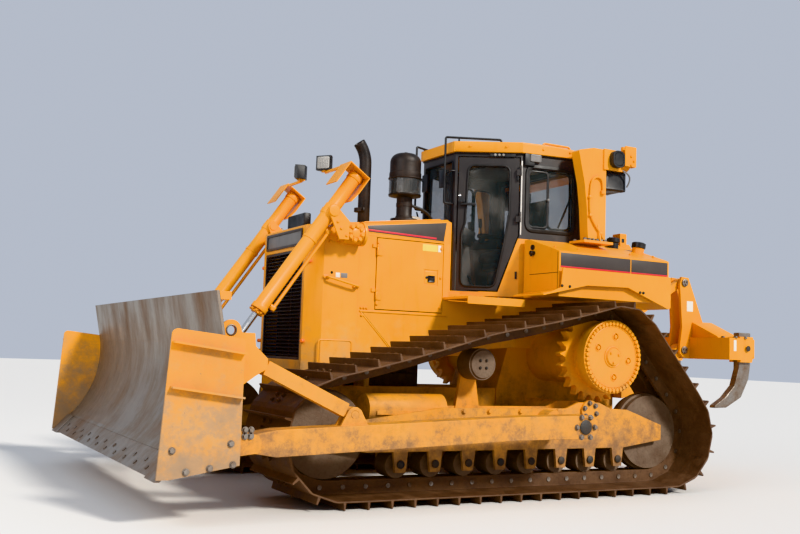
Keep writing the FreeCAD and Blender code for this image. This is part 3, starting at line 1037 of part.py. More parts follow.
barrel_profile = [("-barrelBack", "0"), ("-barrelBack", "barrelRadius - 8"), ("-barrelBack + 12", "barrelRadius + 6"),
                  ("-barrelBack + 60", "barrelRadius + 6"), ("-barrelBack + 60", "barrelRadius"), ("-58", "barrelRadius"),
                  ("-48", "barrelRadius + 8"), ("48", "barrelRadius + 8"), ("58", "barrelRadius"), ("barrelAhead - 46", "barrelRadius"),
                  ("barrelAhead - 46", "barrelRadius + 9"), ("barrelAhead", "barrelRadius + 9"), ("barrelAhead", "rodRadius + 1"),
                  ("barrelAhead - 40", "rodRadius + 1"), ("barrelAhead - 40", "barrelBore"), ("-barrelBack + 40", "barrelBore"),
                  ("-barrelBack + 40", "0")]
barrel_form = turned("lift_barrel", "XZ_Plane", "H_Axis", barrel_profile)
head_guard = [("-210", "guardTop"), ("-guardEnd", "guardTop"), ("-guardEnd", "-guardBelow"), ("-272", "-guardBelow"),
              ("-167", "-guardBelow + 14"), ("-167", "-guardBelow + 22"), ("-272", "-guardBelow + guardSheet"),
              ("-guardEnd + guardSheet", "-guardBelow + guardSheet"), ("-guardEnd + guardSheet", "guardTop - guardSheet"),
              ("-210", "guardTop - guardSheet")]
guard_bracket = [("-barrelBack - 0.3", "-barrelRadius + 6"), ("-guardEnd + 2", "-barrelRadius + 6"),
                 ("-guardEnd + 2", "barrelRadius - 6"), ("-barrelBack - 0.3", "barrelRadius - 6")]
lamp_arm = rod("14", ("-guardEnd + 16", "-(liftY - lampY)", "guardTop - 16"), "liftY - lampY - guardSide + 20", "y")
guard_solid = fused("lift_guard_solid", plate("head_guard", "XZ_Plane", "-guardSide", "guardSide", head_guard),
                    plate("guard_bracket", "XZ_Plane", "-20", "20", guard_bracket), lamp_arm)
pipe_pieces = [rod("pipeRadius", ("150", "0", "-pipeBelow"), "860", "x"),
               rod("pipeRadius + 7", ("968", "0", "-pipeBelow"), "40", "x"),
               rod("pipeRadius + 5", ("140", "0", "-pipeBelow"), "30", "x")]
for place in ("150", "985"):
    pipe_pieces.append(rod("22", (place, "0", "-pipeBelow - 8"), "pipeBelow + 8 - barrelRadius - 0.3", "z"))
lamp_pad = box("lampX - 30", "lampX + 26", "lampY - 30", "lampY + 30", "lampBase - 14", "lampBase")
guards_one = group("lift_guards_one", fused("lift_guard_and_pad", on_lift_axis("lift_guard_placed", guard_solid), lamp_pad),
                   on_lift_axis("line_pipe_placed", fused("line_pipe", *pipe_pieces)))
node("lift_guards_left", guards_one)
node("lift_guards_right", mirrored("lift_guards_right", guards_one))

barrel_one = on_lift_axis("lift_barrel_placed", fused(
    "lift_barrel_solid", barrel_form,
    rod("yokePin", ("0", "-(cheekInner + yokeCheek + 8)", "0"), "(cheekInner + yokeCheek + 8) * 2", "y")))
# the trunnion pins stop at the barrel's wall, so that the bore stays open
barrel_one = cut("lift_barrel_bored", barrel_one, on_lift_axis("bore_volume", rod("barrelBore", ("-barrelBack + 40", "0", "0"),
                                                                               "barrelBack - 40 + barrelAhead - 40", "x")))
node("lift_barrel_left", barrel_one)
node("lift_barrel_right", mirrored("lift_barrel_right", barrel_one))

length = f"{lift_length():.4f}"
rod_profile = [(f"{length} - rodReach", "0"), (f"{length} - rodReach", "barrelBore - 0.5"), (f"{length} - rodReach + 70", "barrelBore - 0.5"),
               (f"{length} - rodReach + 70", "rodRadius"), (f"{length} - 30", "rodRadius"), (f"{length} - 30", "0")]
eye = cut("rod_eye", rod("eyeRadius", (length, "-eyeWidth / 2", "0"), "eyeWidth", "y"), rod("eyeBore", (length, "-eyeWidth", "0"), "eyeWidth * 2", "y"))
rod_trim = rod("eyeBore", (length, "-eyeWidth", "0"), "eyeWidth * 2", "y")
rod_form = cut("rod_form", turned("lift_rod", "XZ_Plane", "H_Axis", rod_profile), rod_trim)
rod_one = on_lift_axis("lift_rod_placed", fused("lift_rod_solid", rod_form, eye))
node("lift_rod_left", rod_one)
node("lift_rod_right", mirrored("lift_rod_right", rod_one))

lamp_plan = [("-lampDeep / 2", "-lampWide / 2 + 28"), ("lampDeep / 2 - 26", "-lampWide / 2"), ("lampDeep / 2", "-lampWide / 2"),
             ("lampDeep / 2", "lampWide / 2"), ("lampDeep / 2 - 26", "lampWide / 2"), ("-lampDeep / 2", "lampWide / 2 - 28")]
lamp_front = rounded([("-lampWide / 2 + 9", "lampBase + 9"), ("lampWide / 2 - 9", "lampBase + 9"),
                      ("lampWide / 2 - 9", "lampBase + lampHigh - 9"), ("-lampWide / 2 + 9", "lampBase + lampHigh - 9")], "18")
lamp_form = plate("front_lamp", "XY_Plane", "lampBase + 0.3", "lampBase + lampHigh", lamp_plan)
cut_in(lamp_form, "YZ_Plane", "lampDeep / 2 - 7", "lampDeep / 2 + 5", lamp_front)
lamp_one = put(lamp_form, "lampX", "lampY", "0", (0, 0, 1), value("lampTurn"))
node("front_lamp_left", lamp_one)
node("front_lamp_right", mirrored("front_lamp_right", lamp_one))

cheek = [("yokeX - 46", "yokeZ + 20"), ("yokeX - 12", "yokeZ + 58"), ("yokeX + 30", "yokeZ + 50"), ("yokeX + 52", "yokeZ + 10"),
         ("yokeX + 30", "yokeZ - 46"), ("yokeX - 60", "yokeZ - 240"), ("yokeX - 150", "yokeZ - 240"), ("yokeX - 150", "yokeZ - 80")]
cheeks = []
for low in ("liftY + cheekInner", "liftY - cheekInner - yokeCheek"):
    cheeks.append(plate("yoke_cheek", "XZ_Plane", low, f"{low} + yokeCheek", cheek,
                        ("circle", "yokeX", "yokeZ", "yokePin + pinClearance")))
yoke_back = plate("yoke_back", "XZ_Plane", "liftY - cheekInner - 1", "liftY + cheekInner + 1",
                  [("yokeX - 110", "yokeZ - 240"), ("yokeX - 150", "yokeZ - 240"), ("yokeX - 150", "yokeZ - 90"), ("yokeX - 128", "yokeZ - 90")])
yoke_shaft = rod("96", ("guardRear + 20", "guardHalf + 70", "yokeZ - 165"), "yokeX - 140 - guardRear - 20", "x")
yoke_flange = rod("108", ("guardRear + 2", "guardHalf + 70", "yokeZ - 165"), "26", "x")
yoke_bridge = box("guardRear + 40", "yokeX - 150", "guardHalf - 10", "guardHalf + 20", "yokeZ - 262", "yokeZ - 70")
yoke = cut("yoke_one", fused("yoke_solid", *cheeks, yoke_back, yoke_shaft, yoke_flange, yoke_bridge),
           box("guardRear - 60", "guardFront + 60", "0", "guardHalf + 0.3", "1500", "yokeZ + 90"),
           plate("hood_clear", "XY_Plane", "1500", "yokeZ + 300", [("guardRear - 60", "0"), ("guardFront + 60", "0"),
                                                                   ("guardFront + 60", "guardNose - 30"), ("guardRear - 60", "guardNose - 30")]))
node("lift_yokes", both_sides("lift_yokes", yoke))


# Ripper: a parallelogram of links, a beam with two towers, three shanks and a pair of cylinders.

link_rise = "towerLowZ - linkFrontLowZ"
high_front = f"towerHighZ - ({link_rise})"
mount_side = [("linkFrontX + 205", "linkFrontLowZ - 120"), ("linkFrontX + 205", "caseTop - 90"), ("linkFrontX + 60", f"{high_front} + 84"),
              ("linkFrontX - 30", f"{high_front} + 84"), ("linkFrontX - 70", f"{high_front} + 30"), ("linkFrontX - 70", f"{high_front} - 40"),
              ("linkFrontX + 60", "linkFrontLowZ + 300"), ("linkFrontX - 62", "linkFrontLowZ + 50"), ("linkFrontX - 62", "linkFrontLowZ - 40"),
              ("linkFrontX - 20", "linkFrontLowZ - 90")]
mount_plates = []
for low in ("towerY + towerGap / 2 + 4", "towerY - towerGap / 2 - 4 - lugPlate"):
    for ends in ((low, f"{low} + lugPlate"), (f"-({low} + lugPlate)", f"-({low})")):
        mount_plates.append(plate("mount_plate", "XZ_Plane", *ends, mount_side,
                                  ("circle", "linkFrontX", "linkFrontLowZ", "linkPin + pinClearance"),
                                  ("circle", "linkFrontX", high_front, "linkPin + pinClearance")))
mount_base = box("caseRear - 30", "caseRear - 0.3", "-(towerY + 110)", "towerY + 110", "linkFrontLowZ - 120", "caseTop - 100")
head_lugs = []
for middle in ("ripperY", "-ripperY"):
    for low in (f"{middle} + 70", f"{middle} - 70 - 20"):
        head_lugs.append(plate("head_lug", "XZ_Plane", low, f"{low} + 20",
                               [("caseRear - 10", "caseTop - 260"), ("caseRear - 10", "caseTop - 100"), ("ripperHeadX + 61", "ripperHeadZ - 10"),
                                ("ripperHeadX + 40", "ripperHeadZ + 44"), ("ripperHeadX", "ripperHeadZ + 60"), ("ripperHeadX - 40", "ripperHeadZ + 44"),
                                ("ripperHeadX - 60", "ripperHeadZ"), ("ripperHeadX - 44", "ripperHeadZ - 50")],
                               ("circle", "ripperHeadX", "ripperHeadZ", "30 + pinClearance")))
node("ripper_mount", fused("ripper_mount", mount_base, *mount_plates, *head_lugs))


def link_form(front_z, rear_z, low, high, half):
    """A straight link between its front and rear pins, with a boss and a hole at each."""
    front_x, rear_x = "linkFrontX", "towerX"
    side = [(front_x, f"{front_z} + {half}"), (front_x, f"{front_z} - {half}"), (rear_x, f"{rear_z} - {half}"), (rear_x, f"{rear_z} + {half}")]
    bar_ = plate("link_bar", "XZ_Plane", low, high, side)
    length_ = f"({high}) - ({low})"
    bosses = [rod(f"{half} + 8", (x, low, z), length_, "y") for x, z in ((front_x, front_z), (rear_x, rear_z))]
    return [bar_, *bosses]


low_arm, half_arm = "towerGap / 2 - 6", "62"
lower_pieces = []
for middle in ("towerY", "-towerY"):
    lower_pieces += link_form("linkFrontLowZ", "towerLowZ", f"{middle} - ({low_arm})", f"{middle} + {low_arm}", half_arm)
    lower_pieces += [rod("linkPin", (x, f"{middle} - towerGap / 2 - 4 - lugPlate - 8", z), "towerGap + 8 + lugPlate * 2 + 16", "y")
                     for x, z in (("linkFrontX", "linkFrontLowZ"), ("towerX", "towerLowZ"))]
link_length = math.hypot(value("linkFrontX - towerX"), value(link_rise))


def on_lower_link(distance):
    """The point of the lower link's line at a distance from its front pin."""
    share = f"{value(distance) / link_length:.6f}"
    return f"linkFrontX - (linkFrontX - towerX) * {share}", f"linkFrontLowZ + ({link_rise}) * {share}"


cross_x, cross_z = on_lower_link("crossAlong")
rod_pin_x, rod_pin_z = on_lower_link("ripperRodAlong")
lower_pieces.append(rod("60", (cross_x, "-(towerY - towerGap / 2 + 8)", cross_z), "(towerY - towerGap / 2 + 8) * 2", "y"))
for middle in ("ripperY", "-ripperY"):
    for low in (f"{middle} + 44", f"{middle} - 44 - 22"):
        lower_pieces.append(plate("rod_lug", "XZ_Plane", low, f"{low} + 22",
                                  [(f"{cross_x} + 20", f"{cross_z} - 40"), (f"{cross_x} - 10", f"{cross_z} + 40"), (f"{rod_pin_x} + 20", f"{rod_pin_z} + 52"),
                                   (f"{rod_pin_x} - 20", f"{rod_pin_z} + 52"), (f"{rod_pin_x} - 52", f"{rod_pin_z} + 10"), (f"{rod_pin_x} - 40", f"{rod_pin_z} - 40"),
                                   (f"{cross_x} - 60", f"{cross_z} - 44")]))
node("ripper_lower_link", fused("ripper_lower_link", *lower_pieces))

upper_pieces = []
for middle in ("towerY", "-towerY"):
    upper_pieces.append(fused("upper_link_one", *link_form(high_front, "towerHighZ", f"{middle} - 36", f"{middle} + 36", "44"),
                              *[rod("linkPin", (x, f"{middle} - towerGap / 2 - 4 - lugPlate - 8", z), "towerGap + 8 + lugPlate * 2 + 16", "y")
                                for x, z in (("linkFrontX", high_front), ("towerX", "towerHighZ"))]))
node("ripper_upper_links", group("ripper_upper_links", *upper_pieces))

tower_side = [("towerX + 62", "towerLowZ - 30"), ("towerX + 58", "towerLowZ + 60"), ("towerX + 30", "towerLowZ + 250"), ("towerX + 66", "towerHighZ - 20"),
              ("towerX + 40", "towerHighZ + 62"), ("towerX - 60", "towerHighZ + 56"), ("towerX - 170", "towerHighZ - 190"), ("towerX - 300", "beamHigh + 120"),
              ("beamRear - 120", "beamHigh - 10"), ("beamRear - 120", "beamHigh - 60"), ("beamFront - 1", "beamHigh - 60"), ("beamFront - 1", "beamLow"), ("towerX + 10", "towerLowZ - 78")]
towers = []
for low in ("towerY + towerGap / 2 + 4", "towerY - towerGap / 2 - 4 - towerPlate"):
    for ends in ((low, f"{low} + towerPlate"), (f"-({low} + towerPlate)", f"-({low})")):
        towers.append(plate("tower_plate", "XZ_Plane", *ends, tower_side, ("circle", "towerX", "towerLowZ", "linkPin + pinClearance"),
                            ("circle", "towerX", "towerHighZ", "linkPin + pinClearance")))
ripper_beam = box("beamRear", "beamFront", "-beamHalf", "beamHalf", "beamLow", "beamHigh")
pockets = []
for middle in ("-shankY", "0", "shankY"):
    for low in (f"{middle} + shankThick / 2 + 0.3", f"{middle} - shankThick / 2 - 0.3 - 34"):
        pockets.append(plate("pocket_plate", "XZ_Plane", low, f"{low} + 34",
                             [("beamRear + 20", "beamLow - 22"), ("beamRear + 20", "beamHigh + 16"), ("beamRear - 175", "beamHigh + 16"),
                              ("beamRear - 195", "beamLow + 100"), ("beamRear - 160", "beamLow - 22")]))
    pockets.append(box("beamRear - 195", "beamRear - 181", f"{middle} - shankThick / 2 - 35", f"{middle} + shankThick / 2 + 35", "beamLow + 20", "beamHigh - 10"))
node("ripper_beam", fused("ripper_beam", ripper_beam, *towers, *pockets))

shank_outline = [("beamRear - 3", "beamHigh + 60"), ("beamRear - 3", "beamLow - 90"), ("beamRear + 60", "beamLow - 270"), ("beamRear + 200", "beamLow - 400"),
                 ("beamRear + 345", "beamLow - 480"), ("beamRear + 350", "beamLow - 505"), ("beamRear + 180", "beamLow - 500"),
                 ("beamRear - 40", "beamLow - 390"), ("beamRear - 150", "beamLow - 200"), ("beamRear - 178", "beamLow - 40"), ("beamRear - 178", "beamHigh + 60")]
shanks = [plate("shank", "XZ_Plane", f"{middle} - shankThick / 2", f"{middle} + shankThick / 2", shank_outline) for middle in ("-shankY", "0", "shankY")]
node("ripper_shanks", group("ripper_shanks", *shanks))


def ripper_axis():
    """Length from the head pin to the rod's pin, and the turn about Y that points along it."""
    across, rise = value(rod_pin_x) - value("ripperHeadX"), value(rod_pin_z) - value("ripperHeadZ")
    return math.hypot(across, rise), math.degrees(math.atan2(-rise, across))


ripper_length, ripper_tilt = ripper_axis()
reach = f"{ripper_length:.4f}"


def on_ripper_axis(item):
    return put(group("ripper_cylinder_part", item), "ripperHeadX", "0", "ripperHeadZ", (0, 1, 0), ripper_tilt)


barrel_pieces, rod_pieces = [], []
for middle in ("ripperY", "-ripperY"):
    profile = [("30", "0"), ("30", "ripperBarrel - 12"), ("62", "ripperBarrel"), ("ripperBarrelEnd", "ripperBarrel"),
               ("ripperBarrelEnd", "32"), ("ripperBarrelEnd - 26", "32"), ("ripperBarrelEnd - 26", "46"), ("72", "46"),
               ("72", "0")]
    barrel_pieces.append(put(turned("ripper_barrel", "XZ_Plane", "H_Axis", profile), "0", middle, "0"))
    barrel_pieces.append(rod("54", ("0", f"{middle} - 62", "0"), "124", "y"))
    stem = [("75", "0"), ("75", "45.5"), ("110", "45.5"), ("110", "31"), (f"{reach} - 20", "31"), (f"{reach} - 20", "0")]
    rod_pieces.append(cut("ripper_rod_cut", put(turned("ripper_rod", "XZ_Plane", "H_Axis", stem), "0", middle, "0"),
                          rod("32", (reach, f"{middle} - 60", "0"), "120", "y")))
    rod_pieces.append(cut("ripper_eye", rod("54", (reach, f"{middle} - 36", "0"), "72", "y"), rod("32", (reach, f"{middle} - 60", "0"), "120", "y")))
head_pin = rod("30", ("0", "-(ripperY + 70 + 24)", "0"), "(ripperY + 70 + 24) * 2", "y")
node("ripper_barrels", on_ripper_axis(fused("ripper_barrels_solid", head_pin, *barrel_pieces)))
node("ripper_rods", on_ripper_axis(group("ripper_rods_solid", fused("ripper_rod_a", *rod_pieces[:2]), fused("ripper_rod_b", *rod_pieces[2:]))))

doc.recompute()


def finished(items):
    """Stops if any object has failed or any piece isn't a sound solid."""
    failed = [f"{item.Label} {item.State}" for item in doc.Objects if "Invalid" in item.State or "Error" in item.State]
    failed += [f"{label} is not a sound solid" for label, item in items.items()
               if item.Shape.isNull() or not item.Shape.isValid() or item.Shape.Volume <= 0]
    if failed:
        raise RuntimeError("; ".join(failed))


finished(nodes)


def middle_of_length():
    """The shared frame's origin lies on the ground under the middle of the machine's length."""
    whole = FreeCAD.BoundBox()
    for item in nodes.values():
        whole.add(item.Shape.BoundBox)
    return (whole.XMin + whole.XMax) / 2


origin_x = middle_of_length()


def write_parts():
    os.makedirs("parts", exist_ok=True)
    for label, item in nodes.items():
        shape = item.Shape.copy()
        shape.translate(FreeCAD.Vector(-origin_x, 0, 0))
        shape.exportStep(f"parts/{label}.step")
    print(f"{len(nodes)} pieces, origin at x {origin_x:.1f}, front idler at x {front_idler_x:.1f}")


write_parts()
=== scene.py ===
import bpy
import math
from mathutils import Matrix, Vector


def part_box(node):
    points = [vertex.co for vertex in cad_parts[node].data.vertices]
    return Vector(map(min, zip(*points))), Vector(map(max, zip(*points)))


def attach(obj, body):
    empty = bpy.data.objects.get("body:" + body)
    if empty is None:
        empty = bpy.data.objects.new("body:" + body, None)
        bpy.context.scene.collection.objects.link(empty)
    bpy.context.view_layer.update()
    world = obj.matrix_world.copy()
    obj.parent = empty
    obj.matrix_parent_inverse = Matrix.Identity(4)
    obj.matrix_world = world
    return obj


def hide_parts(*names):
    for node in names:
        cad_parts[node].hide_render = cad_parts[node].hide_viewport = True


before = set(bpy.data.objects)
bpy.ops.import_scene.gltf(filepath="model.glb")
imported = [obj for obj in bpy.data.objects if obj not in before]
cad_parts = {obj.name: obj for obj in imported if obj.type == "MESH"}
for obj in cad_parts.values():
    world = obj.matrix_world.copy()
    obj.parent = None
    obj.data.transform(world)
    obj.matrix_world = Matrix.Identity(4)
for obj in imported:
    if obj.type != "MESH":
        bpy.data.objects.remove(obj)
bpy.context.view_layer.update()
print("frame loaded")

# the machine's own numbers are measured from under the sprocket, the frame's from its middle
originX = 0.9225


def at(x, y, z):
    return Vector((x - originX, y, z))


# camera, placed as the photo was taken
camera = {
    "spot": (5.9212, 8.3156, 1.2043), "azimuth": 151.326, "elevation": -5.117, "roll": 2.019,
    "focal": 966.63, "imageWidth": 800, "sensor": 36,
}


def addCamera():
    azimuth, elevation = math.radians(camera["azimuth"]), math.radians(camera["elevation"])
    back = Vector((math.sin(azimuth) * math.cos(elevation), -math.cos(azimuth) * math.cos(elevation), math.sin(elevation)))
    level = (-back).cross(Vector((0, 0, 1))).normalized()
    tall = level.cross(-back)
    roll = math.radians(camera["roll"])
    right = level * math.cos(roll) + tall * math.sin(roll)
    up = tall * math.cos(roll) - level * math.sin(roll)
    turn = Matrix((right, up, back)).transposed()
    bpy.ops.object.camera_add(location=at(*camera["spot"]), rotation=turn.to_euler())
    item = bpy.context.object
    item.data.sensor_width = camera["sensor"]
    item.data.lens = camera["focal"] / camera["imageWidth"] * camera["sensor"]
    item.data.clip_end = 200
    bpy.context.scene.camera = item


addCamera()


# floor and light: a soft sun from the rear left, a weak fill from the front
studio = {
    "floorSize": 120, "floorColour": (0.70, 0.69, 0.67), "worldColour": (0.80, 0.87, 1.0), "worldPower": 0.62,
    "sunFrom": (-0.28, 0.82, 0.60), "sunPower": 3.9, "sunSoft": 9, "sunColour": (1.0, 0.95, 0.87),
    "fillFrom": (9, 4, 5), "fillPower": 420, "fillSize": 8,
}


def addStudio():
    bpy.ops.mesh.primitive_plane_add(size=studio["floorSize"], location=(0, 0, -0.002))
    floor = bpy.context.object
    floor.name = "studioFloor"
    paint = bpy.data.materials.new("studioFloor")
    paint.use_nodes = True
    shader = paint.node_tree.nodes["Principled BSDF"]
    shader.inputs["Base Color"].default_value = (*studio["floorColour"], 1)
    shader.inputs["Roughness"].default_value = 0.9
    floor.data.materials.append(paint)
    world = bpy.data.worlds.new("studio")
    world.use_nodes = True
    sky = world.node_tree.nodes["Background"]
    sky.inputs["Color"].default_value = (*studio["worldColour"], 1)
    sky.inputs["Strength"].default_value = studio["worldPower"]
    bpy.context.scene.world = world
    bpy.ops.object.light_add(type="SUN")
    sun = bpy.context.object
    sun.rotation_euler = (-Vector(studio["sunFrom"])).to_track_quat("-Z", "Y").to_euler()
    sun.data.energy = studio["sunPower"]
    sun.data.angle = math.radians(studio["sunSoft"])
    sun.data.color = studio["sunColour"]
    bpy.ops.object.light_add(type="AREA", location=studio["fillFrom"])
    fill = bpy.context.object
    fill.data.energy = studio["fillPower"]
    fill.data.size = studio["fillSize"]
    fill.rotation_euler = (Vector((0, 0, 1.2)) - fill.location).to_track_quat("-Z", "Y").to_euler()
    bpy.context.scene.view_settings.view_transform = "Khronos PBR Neutral"


addStudio()
print("camera and studio ready")


# materials

def newMaterial(name):
    paint = bpy.data.materials.new(name)
    paint.use_nodes = True
    tree = paint.node_tree
    return paint, tree, tree.nodes["Principled BSDF"]


def addNode(tree, kind, **settings):
    item = tree.nodes.new(kind)
    for key, setting in settings.items():
        setattr(item, key, setting)
    return item


def objectCoordinates(tree, stretch=(1, 1, 1)):
    place = addNode(tree, "ShaderNodeTexCoord")
    mapping = addNode(tree, "ShaderNodeMapping")
    mapping.inputs["Scale"].default_value = stretch
    tree.links.new(place.outputs["Object"], mapping.inputs["Vector"])
    return mapping.outputs["Vector"]


def noise(tree, vector, scale, detail=6, rough=0.6):
    item = addNode(tree, "ShaderNodeTexNoise")
    item.inputs["Scale"].default_value = scale
    item.inputs["Detail"].default_value = detail
    item.inputs["Roughness"].default_value = rough
    tree.links.new(vector, item.inputs["Vector"])
    return item.outputs["Fac"]


def ramp(tree, source, low, high, fromValue=0.0, toValue=1.0):
    item = addNode(tree, "ShaderNodeMapRange")
    item.inputs["From Min"].default_value = low
    item.inputs["From Max"].default_value = high
    item.inputs["To Min"].default_value = fromValue
    item.inputs["To Max"].default_value = toValue
    tree.links.new(source, item.inputs["Value"])
    return item.outputs["Result"]


def maths(tree, action, first, second):
    item = addNode(tree, "ShaderNodeMath", operation=action)
    for number, source in enumerate((first, second)):
        if isinstance(source, (int, float)):
            item.inputs[number].default_value = source
        else:
            tree.links.new(source, item.inputs[number])
    return item.outputs["Value"]


def mixColour(tree, share, first, second):
    item = addNode(tree, "ShaderNodeMix", data_type="RGBA")
    tree.links.new(share, item.inputs["Factor"])
    for slotNumber, source in ((6, first), (7, second)):
        if isinstance(source, tuple):
            item.inputs[slotNumber].default_value = (*source, 1)
        else:
            tree.links.new(source, item.inputs[slotNumber])
    return item.outputs[2]


def addBump(tree, shader, height, strength, distance):
    item = addNode(tree, "ShaderNodeBump")
    item.inputs["Strength"].default_value = strength
    item.inputs["Distance"].default_value = distance
    tree.links.new(height, item.inputs["Height"])
    tree.links.new(item.outputs["Normal"], shader.inputs["Normal"])


def axisValue(tree, vector, axis):
    item = addNode(tree, "ShaderNodeSeparateXYZ")
    tree.links.new(vector, item.inputs["Vector"])
    return item.outputs[axis]


def paintedMetal(name, look):
    # paint with faded patches, run-down streaks, dust that gathers low down, splashes of mud and chips to the primer
    paint, tree, shader = newMaterial(name)
    vector = objectCoordinates(tree)
    faded = mixColour(tree, ramp(tree, noise(tree, vector, look["patch"], 4), 0.35, 0.7), look["colour"], look["faded"])
    streak = noise(tree, objectCoordinates(tree, (9, 9, 1.2)), 2.2, 5)
    streaked = mixColour(tree, ramp(tree, streak, 0.54, 0.8, 0, look["streak"]), faded, look["streakColour"])
    height = axisValue(tree, vector, "Z")
    low = ramp(tree, height, look["dustTop"], look["dustLow"], 0, look["dust"])
    cloud = maths(tree, "ADD", low, ramp(tree, noise(tree, vector, 5.5, 8, 0.68), 0.35, 0.72, -0.36, 0.3))
    dusty = mixColour(tree, ramp(tree, cloud, 0.16, 0.9, 0, look["dustMost"]), streaked, look["dustColour"])
    splash = maths(tree, "ADD", maths(tree, "MULTIPLY", low, 0.5), noise(tree, vector, look["mudScale"], 12, 0.78))
    muddy = mixColour(tree, ramp(tree, splash, look["mudFrom"], look["mudFrom"] + 0.22, 0, look["mudMost"]), dusty, look["mudColour"])
    chips = ramp(tree, noise(tree, vector, look["chipScale"], 9, 0.72), look["chipFrom"], look["chipFrom"] + 0.02)
    finished = mixColour(tree, chips, muddy, look["chipColour"])
    tree.links.new(finished, shader.inputs["Base Color"])
    tree.links.new(ramp(tree, cloud, 0, 0.8, look["gloss"], 0.85), shader.inputs["Roughness"])
    shader.inputs["Metallic"].default_value = 0.0
    shader.inputs["Specular IOR Level"].default_value = 0.4
    addBump(tree, shader, noise(tree, vector, 55, 4), 0.1, 0.003)
    return paint


def cabPaint(name, look, under):
    # the cab's dark paint, with the machine's yellow on its base and below the slanted edge behind the door
    paint, tree, shader = newMaterial(name)
    vector = objectCoordinates(tree)
    height, along = axisValue(tree, vector, "Z"), axisValue(tree, vector, "X")
    base = maths(tree, "LESS_THAN", height, under["baseTop"])
    edge = maths(tree, "ADD", maths(tree, "MULTIPLY", height, under["slope"]), along)
    behind = maths(tree, "MULTIPLY", maths(tree, "LESS_THAN", edge, under["edge"]), maths(tree, "LESS_THAN", height, under["top"]))
    yellowShare = maths(tree, "MAXIMUM", base, behind)
    patch = noise(tree, vector, look["patch"], 5)
    dark = mixColour(tree, ramp(tree, patch, 0.35, 0.7), look["colour"], look["faded"])
    bright = mixColour(tree, ramp(tree, patch, 0.35, 0.7), under["colour"], under["faded"])
    painted = mixColour(tree, yellowShare, dark, bright)
    dust = ramp(tree, noise(tree, vector, 6.5, 8, 0.7), 0.52, 0.8, 0, look["dustMost"])
    tree.links.new(mixColour(tree, dust, painted, look["dustColour"]), shader.inputs["Base Color"])
    tree.links.new(ramp(tree, dust, 0, 0.5, look["gloss"], 0.8), shader.inputs["Roughness"])
    addBump(tree, shader, noise(tree, vector, 60, 4), 0.1, 0.003)
    return paint


def metal(name, look):
    # bare or rusty metal: two colours in patches, darker speckle and a rough bump
    paint, tree, shader = newMaterial(name)
    vector = objectCoordinates(tree, look.get("stretch", (1, 1, 1)))
    patch = ramp(tree, noise(tree, vector, look["patch"], 8, 0.65), look["from"], look["to"])
    mixed = mixColour(tree, patch, look["first"], look["second"])
    speckle = ramp(tree, noise(tree, vector, look["patch"] * 7, 6, 0.7), 0.5, 0.8, 0, look["speckle"])
    tree.links.new(mixColour(tree, speckle, mixed, look["third"]), shader.inputs["Base Color"])
    tree.links.new(ramp(tree, patch, 0, 1, look["gloss"], look["dull"]), shader.inputs["Roughness"])
    shader.inputs["Metallic"].default_value = look["metallic"]
    addBump(tree, shader, noise(tree, vector, look["bumpScale"], 6, 0.6), look["bump"], 0.006)
    return paint


def plastic(name, colour, roughness, bump=0.1, scale=180):
    paint, tree, shader = newMaterial(name)
    vector = objectCoordinates(tree)
    lighter = tuple(min(1, part * 1.5 + 0.012) for part in colour)
    shade = mixColour(tree, ramp(tree, noise(tree, vector, 7, 5), 0.4, 0.75), colour, lighter)
    tree.links.new(shade, shader.inputs["Base Color"])
    rough = ramp(tree, noise(tree, vector, 11, 4), 0.3, 0.7, roughness - 0.08, roughness + 0.12)
    tree.links.new(rough, shader.inputs["Roughness"])
    addBump(tree, shader, noise(tree, vector, scale, 3), bump, 0.002)
    return paint


def clearGlass(name, colour, alpha, roughness):
    # tinted glass with a thin haze of dust
    paint, tree, shader = newMaterial(name)
    vector = objectCoordinates(tree)
    haze = ramp(tree, noise(tree, vector, 3.2, 6), 0.45, 0.8, 0, 0.5)
    tree.links.new(mixColour(tree, haze, colour, (0.5, 0.47, 0.42)), shader.inputs["Base Color"])
    tree.links.new(ramp(tree, noise(tree, vector, 4, 6), 0.4, 0.8, roughness, roughness + 0.1), shader.inputs["Roughness"])
    shader.inputs["Alpha"].default_value = alpha
    shader.inputs["Specular IOR Level"].default_value = 0.7
    paint.surface_render_method = "BLENDED"
    return paint


yellowLook = {
    "colour": (0.80, 0.315, 0.020), "faded": (0.83, 0.36, 0.035), "patch": 1.7, "streak": 0.3, "streakColour": (0.5, 0.2, 0.03),
    "dustTop": 2.0, "dustLow": 0.4, "dust": 0.42, "dustMost": 0.6, "dustColour": (0.36, 0.21, 0.11),
    "mudFrom": 0.86, "mudMost": 0.8, "mudScale": 7, "mudColour": (0.17, 0.095, 0.055), "chipScale": 7.5, "chipFrom": 0.72, "chipColour": (0.12, 0.06, 0.035),
    "gloss": 0.34,
}
lowYellowLook = dict(yellowLook, dust=0.8, dustTop=1.5, dustLow=0.35, dustMost=0.8, dustColour=(0.27, 0.165, 0.095),
                     mudFrom=0.74)
darkLook = dict(yellowLook, colour=(0.036, 0.033, 0.033), faded=(0.055, 0.05, 0.048), streakColour=(0.09, 0.075, 0.065),
                dust=0.3, dustMost=0.3, dustColour=(0.2, 0.16, 0.13), chipColour=(0.1, 0.08, 0.06), gloss=0.4)
greyLook = dict(darkLook, colour=(0.16, 0.155, 0.15), faded=(0.21, 0.2, 0.19))
cabBase = {"baseTop": 1.83, "slope": 0.518, "edge": 0.47 - originX + 2.36 * 0.518, "top": 2.36,
           "colour": yellowLook["colour"], "faded": yellowLook["faded"]}
